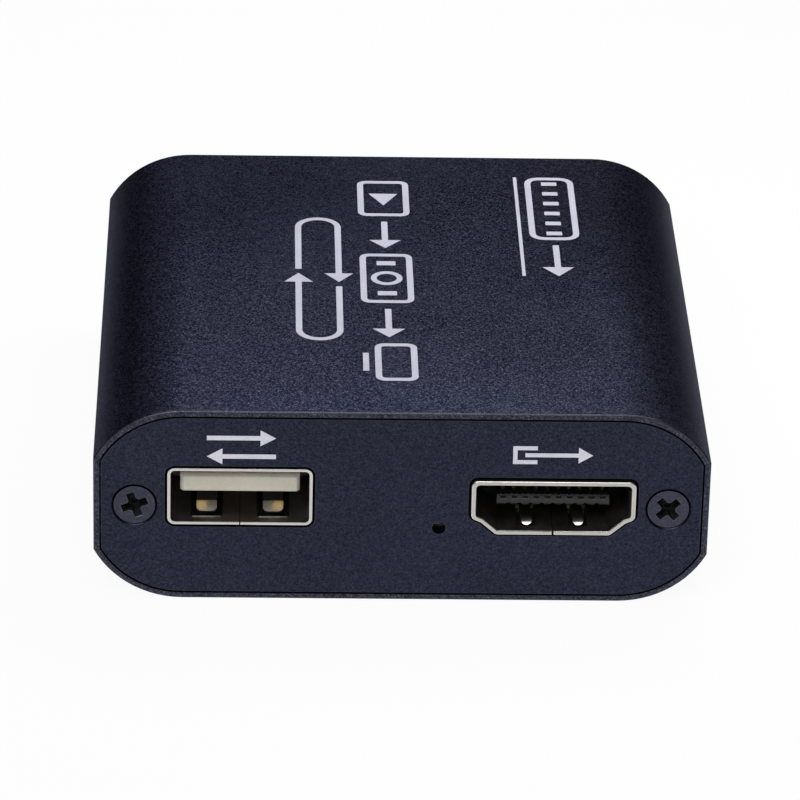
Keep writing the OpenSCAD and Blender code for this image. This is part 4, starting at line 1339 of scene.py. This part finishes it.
traceBuild = {
    "thick": 0.02, "sunk": 0.005, "line": 0.16, "pairHalf": 0.18,
    "pairRuns": [outputRun(i) for i in range(4)] + [
        [(-1.2, 16.1), (-1.2, 12.4), (2.0, 9.2), (2.0, 1.4), (4.2, -0.8)],
        [(1.2, 16.1), (1.2, 12.4), (2.7, 10.9), (2.7, 2.7), (4.2, 1.2)],
        [(3.5, 16.1), (3.5, 12.4), (3.4, 12.2), (3.4, 4.0), (4.2, 3.2)],
        [(-13.4, -13.7), (-13.4, -12.6), (-11.5, -10.7), (-11.5, -8.9)],
    ],
    "busRuns": [busRun(i) for i in range(6)] + [memoryRun(i) for i in range(4)],
    "powerRuns": [
        [(-12.8, 21.5), (-9.0, 21.5), (-5.6, 18.1), (-5.6, 9.6), (-4.0, 8.0), (-2.9, 8.0)],
        [(-12.8, 13.2), (-9.0, 13.2), (-7.4, 11.6), (-7.4, 4.2), (-5.7, 2.5), (-2.9, 2.5)],
        [(11.9, 22.2), (10.2, 22.2), (9.2, 21.2), (9.2, 16.4), (10.9, 14.7), (11.9, 14.7)],
        [(3.4, -25.4), (3.4, -21.6)],
    ],
    "powerLine": 0.9,
    "underRuns": [underRun(i) for i in range(9)],
    "underLine": 0.32,
}


def layRuns(bm, runs, line, shift=0.0):
    for run in runs:
        layRibbon(bm, [Vector((x + shift, y)) for x, y in run], line)


def buildTraces(build):
    bm = newMesh()
    for shift in (-build["pairHalf"], build["pairHalf"]):
        layRuns(bm, build["pairRuns"], build["line"], shift)
    layRuns(bm, build["busRuns"], build["line"])
    layRuns(bm, build["powerRuns"], build["powerLine"])
    layFlat(bm, build["thick"], upperPlane, build["sunk"])
    finishPiece(bm, "boardTraces", "board", "coveredCopper")
    bm = newMesh()
    layRuns(bm, build["underRuns"], build["underLine"])
    layFlat(bm, build["thick"], lowerPlane, build["sunk"])
    finishPiece(bm, "underTraces", "board", "coveredCopper")


buildTraces(traceBuild)


# Plated through holes, scattered clear of the parts
viaBuild = {
    "count": 90, "radius": 0.3, "bore": 0.13, "lip": 0.03, "high": 0.02, "sunk": 0.01, "rimSunk": 0.005,
    "clear": 0.55, "margin": 2.2, "seed": 11,
    "clearOf": (
        "data_socket_shell", "video_out_shell", "video_in_shell", "video_out_contacts", "video_in_contacts",
        "capture_chip", "capture_chip_leads", "splitter_chip", "memory_chip", "memory_chip_leads",
        "regulators", "regulator_leads", "inductors", "bulk_capacitor_bases", "crystals", "surge_arrays",
        "chip_capacitors", "chip_resistors", "status_light",
    ),
}


def buildVias(build):
    draw = random.Random(build["seed"])
    taken = [box for node in build["clearOf"] for box in looseBoxes(node)]
    clear, margin = build["clear"] * mm, build["margin"] * mm
    inner, outer, lip, high = build["bore"], build["radius"], build["lip"], build["high"]
    start = (inner, -build["sunk"])
    ring = [start, (inner + lip, high), (outer, high), (outer + lip, -build["rimSunk"]), start]
    bm = newMesh()
    for _ in range(build["count"]):
        x = draw.uniform(boardLow.x + margin, boardHigh.x - margin)
        y = draw.uniform(boardLow.y + margin, boardHigh.y - margin)
        if all(not (a.x - clear < x < b.x + clear and a.y - clear < y < b.y + clear) for a, b in taken):
            turnProfile(bm, ring, Matrix.Translation((x, y, boardTop)), steps=12)
            turnProfile(bm, ring, underBoard(x, y), steps=12)
            taken.append((Vector((x, y, 0)), Vector((x, y, 0))))
    finishPiece(bm, "boardVias", "board", "tinnedLead")


buildVias(viaBuild)


# White part outlines printed on the board, and plated strips along the edges that run in the grooves
printBuild = {
    "line": 0.13, "gap": 0.35, "smallGap": 0.3, "corner": 0.3, "canRing": 4.35, "ringTurn": (200, 140),
    "thick": 0.012, "sunk": 0.002, "stripIn": 1.15, "stripEnd": 3.0, "stripThick": 0.02,
}


def buildBoardPrint(build):
    bm = newMesh()
    line = build["line"]
    chips = ("capture_chip_leads", "splitter_chip", "memory_chip_leads")
    outlined = [(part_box(node), build["gap"]) for node in chips]
    for node in ("inductors", "regulators", "crystals"):
        outlined += [(box, build["smallGap"]) for box in looseBoxes(node)]
    for (low, high), gap in outlined:
        a, b = low / mm, high / mm
        flatFrame(bm, a.x - gap, a.y - gap, b.x + gap, b.y + gap, line, build["corner"])
    for low, high in looseBoxes("bulk_capacitor_bases"):
        centre = (low + high) / 2 / mm
        ring = (build["canRing"], build["canRing"] + line)
        flatArc(bm, centre.x, centre.y, *ring, *build["ringTurn"], 20)
    layFlat(bm, build["thick"], upperPlane, build["sunk"])
    finishPiece(bm, "boardPrint", "board", "signInk")
    bm = newMesh()
    thick = build["stripThick"] * mm
    startY, endY = boardLow.y + build["stripEnd"] * mm, boardHigh.y - build["stripEnd"] * mm
    for lowZ in (boardHigh.z, boardLow.z - thick):
        for side in (-1, 1):
            edge = boardHigh.x * side
            lowX, highX = sorted((edge, edge - side * build["stripIn"] * mm))
            addBlock(bm, Vector((lowX, startY, lowZ)), Vector((highX, endY, lowZ + thick)))
    finishPiece(bm, "edgeStrips", "board", "contactGold")


buildBoardPrint(printBuild)
print("board made")


# CAD nodes that keep their shape take the finish of their slot
keptNodes = {
    "main_board": "boardGreen",
    "data_socket_contacts": "contactGold",
    "video_out_contacts": "contactGold", "video_in_contacts": "contactGold",
    "capture_chip_leads": "tinnedLead", "memory_chip_leads": "tinnedLead", "regulator_leads": "tinnedLead",
}
for node, finish in keptNodes.items():
    for socket in cadNodes[node].material_slots:
        socket.material = finishes[finish]


# Floor, world and lamps
stageBuild = {
    "floorSize": 6.0, "floorColour": (0.9, 0.9, 0.9), "rough": 0.8, "specular": 0.1, "drop": 0.01,
    "cameraWhite": 0.94, "mirrorNear": 0.85, "mirrorFar": 0.12, "reach": (0.055, 0.12),
}


# How white the floor and the room are where the camera sees them, itself or in metal and glass
def whiteShare(tree, seen, reflected):
    rays = addNode(tree, "ShaderNodeLightPath").outputs
    mirrored = math2(tree, "MAXIMUM", rays["Is Glossy Ray"], rays["Is Transmission Ray"])
    direct = math2(tree, "MULTIPLY", rays["Is Camera Ray"], seen)
    return math2(tree, "MAXIMUM", direct, math2(tree, "MULTIPLY", mirrored, reflected))


def buildFloor(build):
    bm = bmesh.new()
    bmesh.ops.create_grid(bm, x_segments=1, y_segments=1, size=build["floorSize"] / 2)
    bmesh.ops.translate(bm, verts=bm.verts[:], vec=(0, 0, -build["drop"] * mm))
    floor = meshObject(bm, "floor")
    material = bpy.data.materials.new("paleFloor")
    material.use_nodes = True
    tree = material.node_tree
    shader = tree.nodes["Principled BSDF"]
    shader.inputs["Base Color"].default_value = (*build["floorColour"], 1)
    shader.inputs["Roughness"].default_value = build["rough"]
    shader.inputs["Specular IOR Level"].default_value = build["specular"]
    white = addNode(tree, "ShaderNodeEmission", {"Strength": 1.0})
    # In metal and glass the floor shows whiter near the middle than far out: a painted pool of light
    fromMiddle = {0: objectPlace(tree)}
    away = addNode(tree, "ShaderNodeVectorMath", fromMiddle, operation="LENGTH").outputs["Value"]
    mirrored = remap(tree, away, *build["reach"], build["mirrorNear"], build["mirrorFar"])
    share = whiteShare(tree, build["cameraWhite"], mirrored)
    mixed = addNode(tree, "ShaderNodeMixShader", {0: share, 1: shader.outputs[0], 2: white.outputs[0]})
    tree.links.new(mixed.outputs[0], tree.nodes["Material Output"].inputs["Surface"])
    floor.data.materials.append(material)


# The room's light by the height of its direction: a pale sweep, a dim wall and a lighter ceiling
worldBuild = {
    "sweep": 0.006, "wall": 0.0025, "ceiling": 0.015, "stops": (0.02, 0.06, 0.45, 0.75),
    "cameraWhite": 0.94, "mirrorWhite": 0.12, "backdrop": (0.02, 0.06),
}


def buildWorld(build):
    world = bpy.data.worlds.new("studio")
    scene.world = world
    world.use_nodes = True
    tree = world.node_tree
    background = tree.nodes["Background"]
    background.inputs["Color"].default_value = (1, 1, 1, 1)
    direction = addNode(tree, "ShaderNodeTexCoord").outputs["Generated"]
    height = addNode(tree, "ShaderNodeSeparateXYZ", {0: direction}).outputs["Z"]
    sweepEnd, wallStart, wallEnd, ceilingStart = build["stops"]
    low = remap(tree, height, sweepEnd, wallStart, build["sweep"], build["wall"])
    high = remap(tree, height, wallEnd, ceilingStart, 0.0, build["ceiling"] - build["wall"])
    backdrop = remap(tree, height, *build["backdrop"], build["mirrorWhite"], 0.0)
    shown = whiteShare(tree, build["cameraWhite"], backdrop)
    light = math2(tree, "MAXIMUM", math2(tree, "ADD", low, high), shown)
    tree.links.new(light, background.inputs["Strength"])


# Lamps: where each stands and the point it faces, in metres
lampBuild = {
    "backLamp": {
        "place": (0.052, 0.055, 0.13), "facing": (0.012, -0.004, 0.02), "size": (0.2, 0.05), "power": 0.152,
    },
    "frontLamp": {"place": (-0.15, -0.52, 0.62), "facing": (0, 0, 0.01), "size": (0.6, 0.6), "power": 4.5},
    "topLamp": {"place": (0.05, -0.05, 0.9), "facing": (0, 0, 0), "size": (0.7, 0.7), "power": 0.9},
    "leftLamp": {"place": (-0.2, 0.67, 0.36), "facing": (0, 0, 0.01), "size": (0.3, 0.3), "power": 0.155},
}


def buildLamp(name, lamp):
    data = bpy.data.lights.new(name, "AREA")
    data.shape = "RECTANGLE"
    data.size, data.size_y = lamp["size"]
    data.energy = lamp["power"]
    light = addObject(name, data)
    place = Vector(lamp["place"])
    light.location = place
    light.rotation_euler = (Vector(lamp["facing"]) - place).to_track_quat("-Z", "Y").to_euler()
    light.visible_camera = False


buildFloor(stageBuild)
buildWorld(worldBuild)
for lampName, lampSettings in lampBuild.items():
    buildLamp(lampName, lampSettings)

scene.view_settings.view_transform = "Standard"
print("stage made")
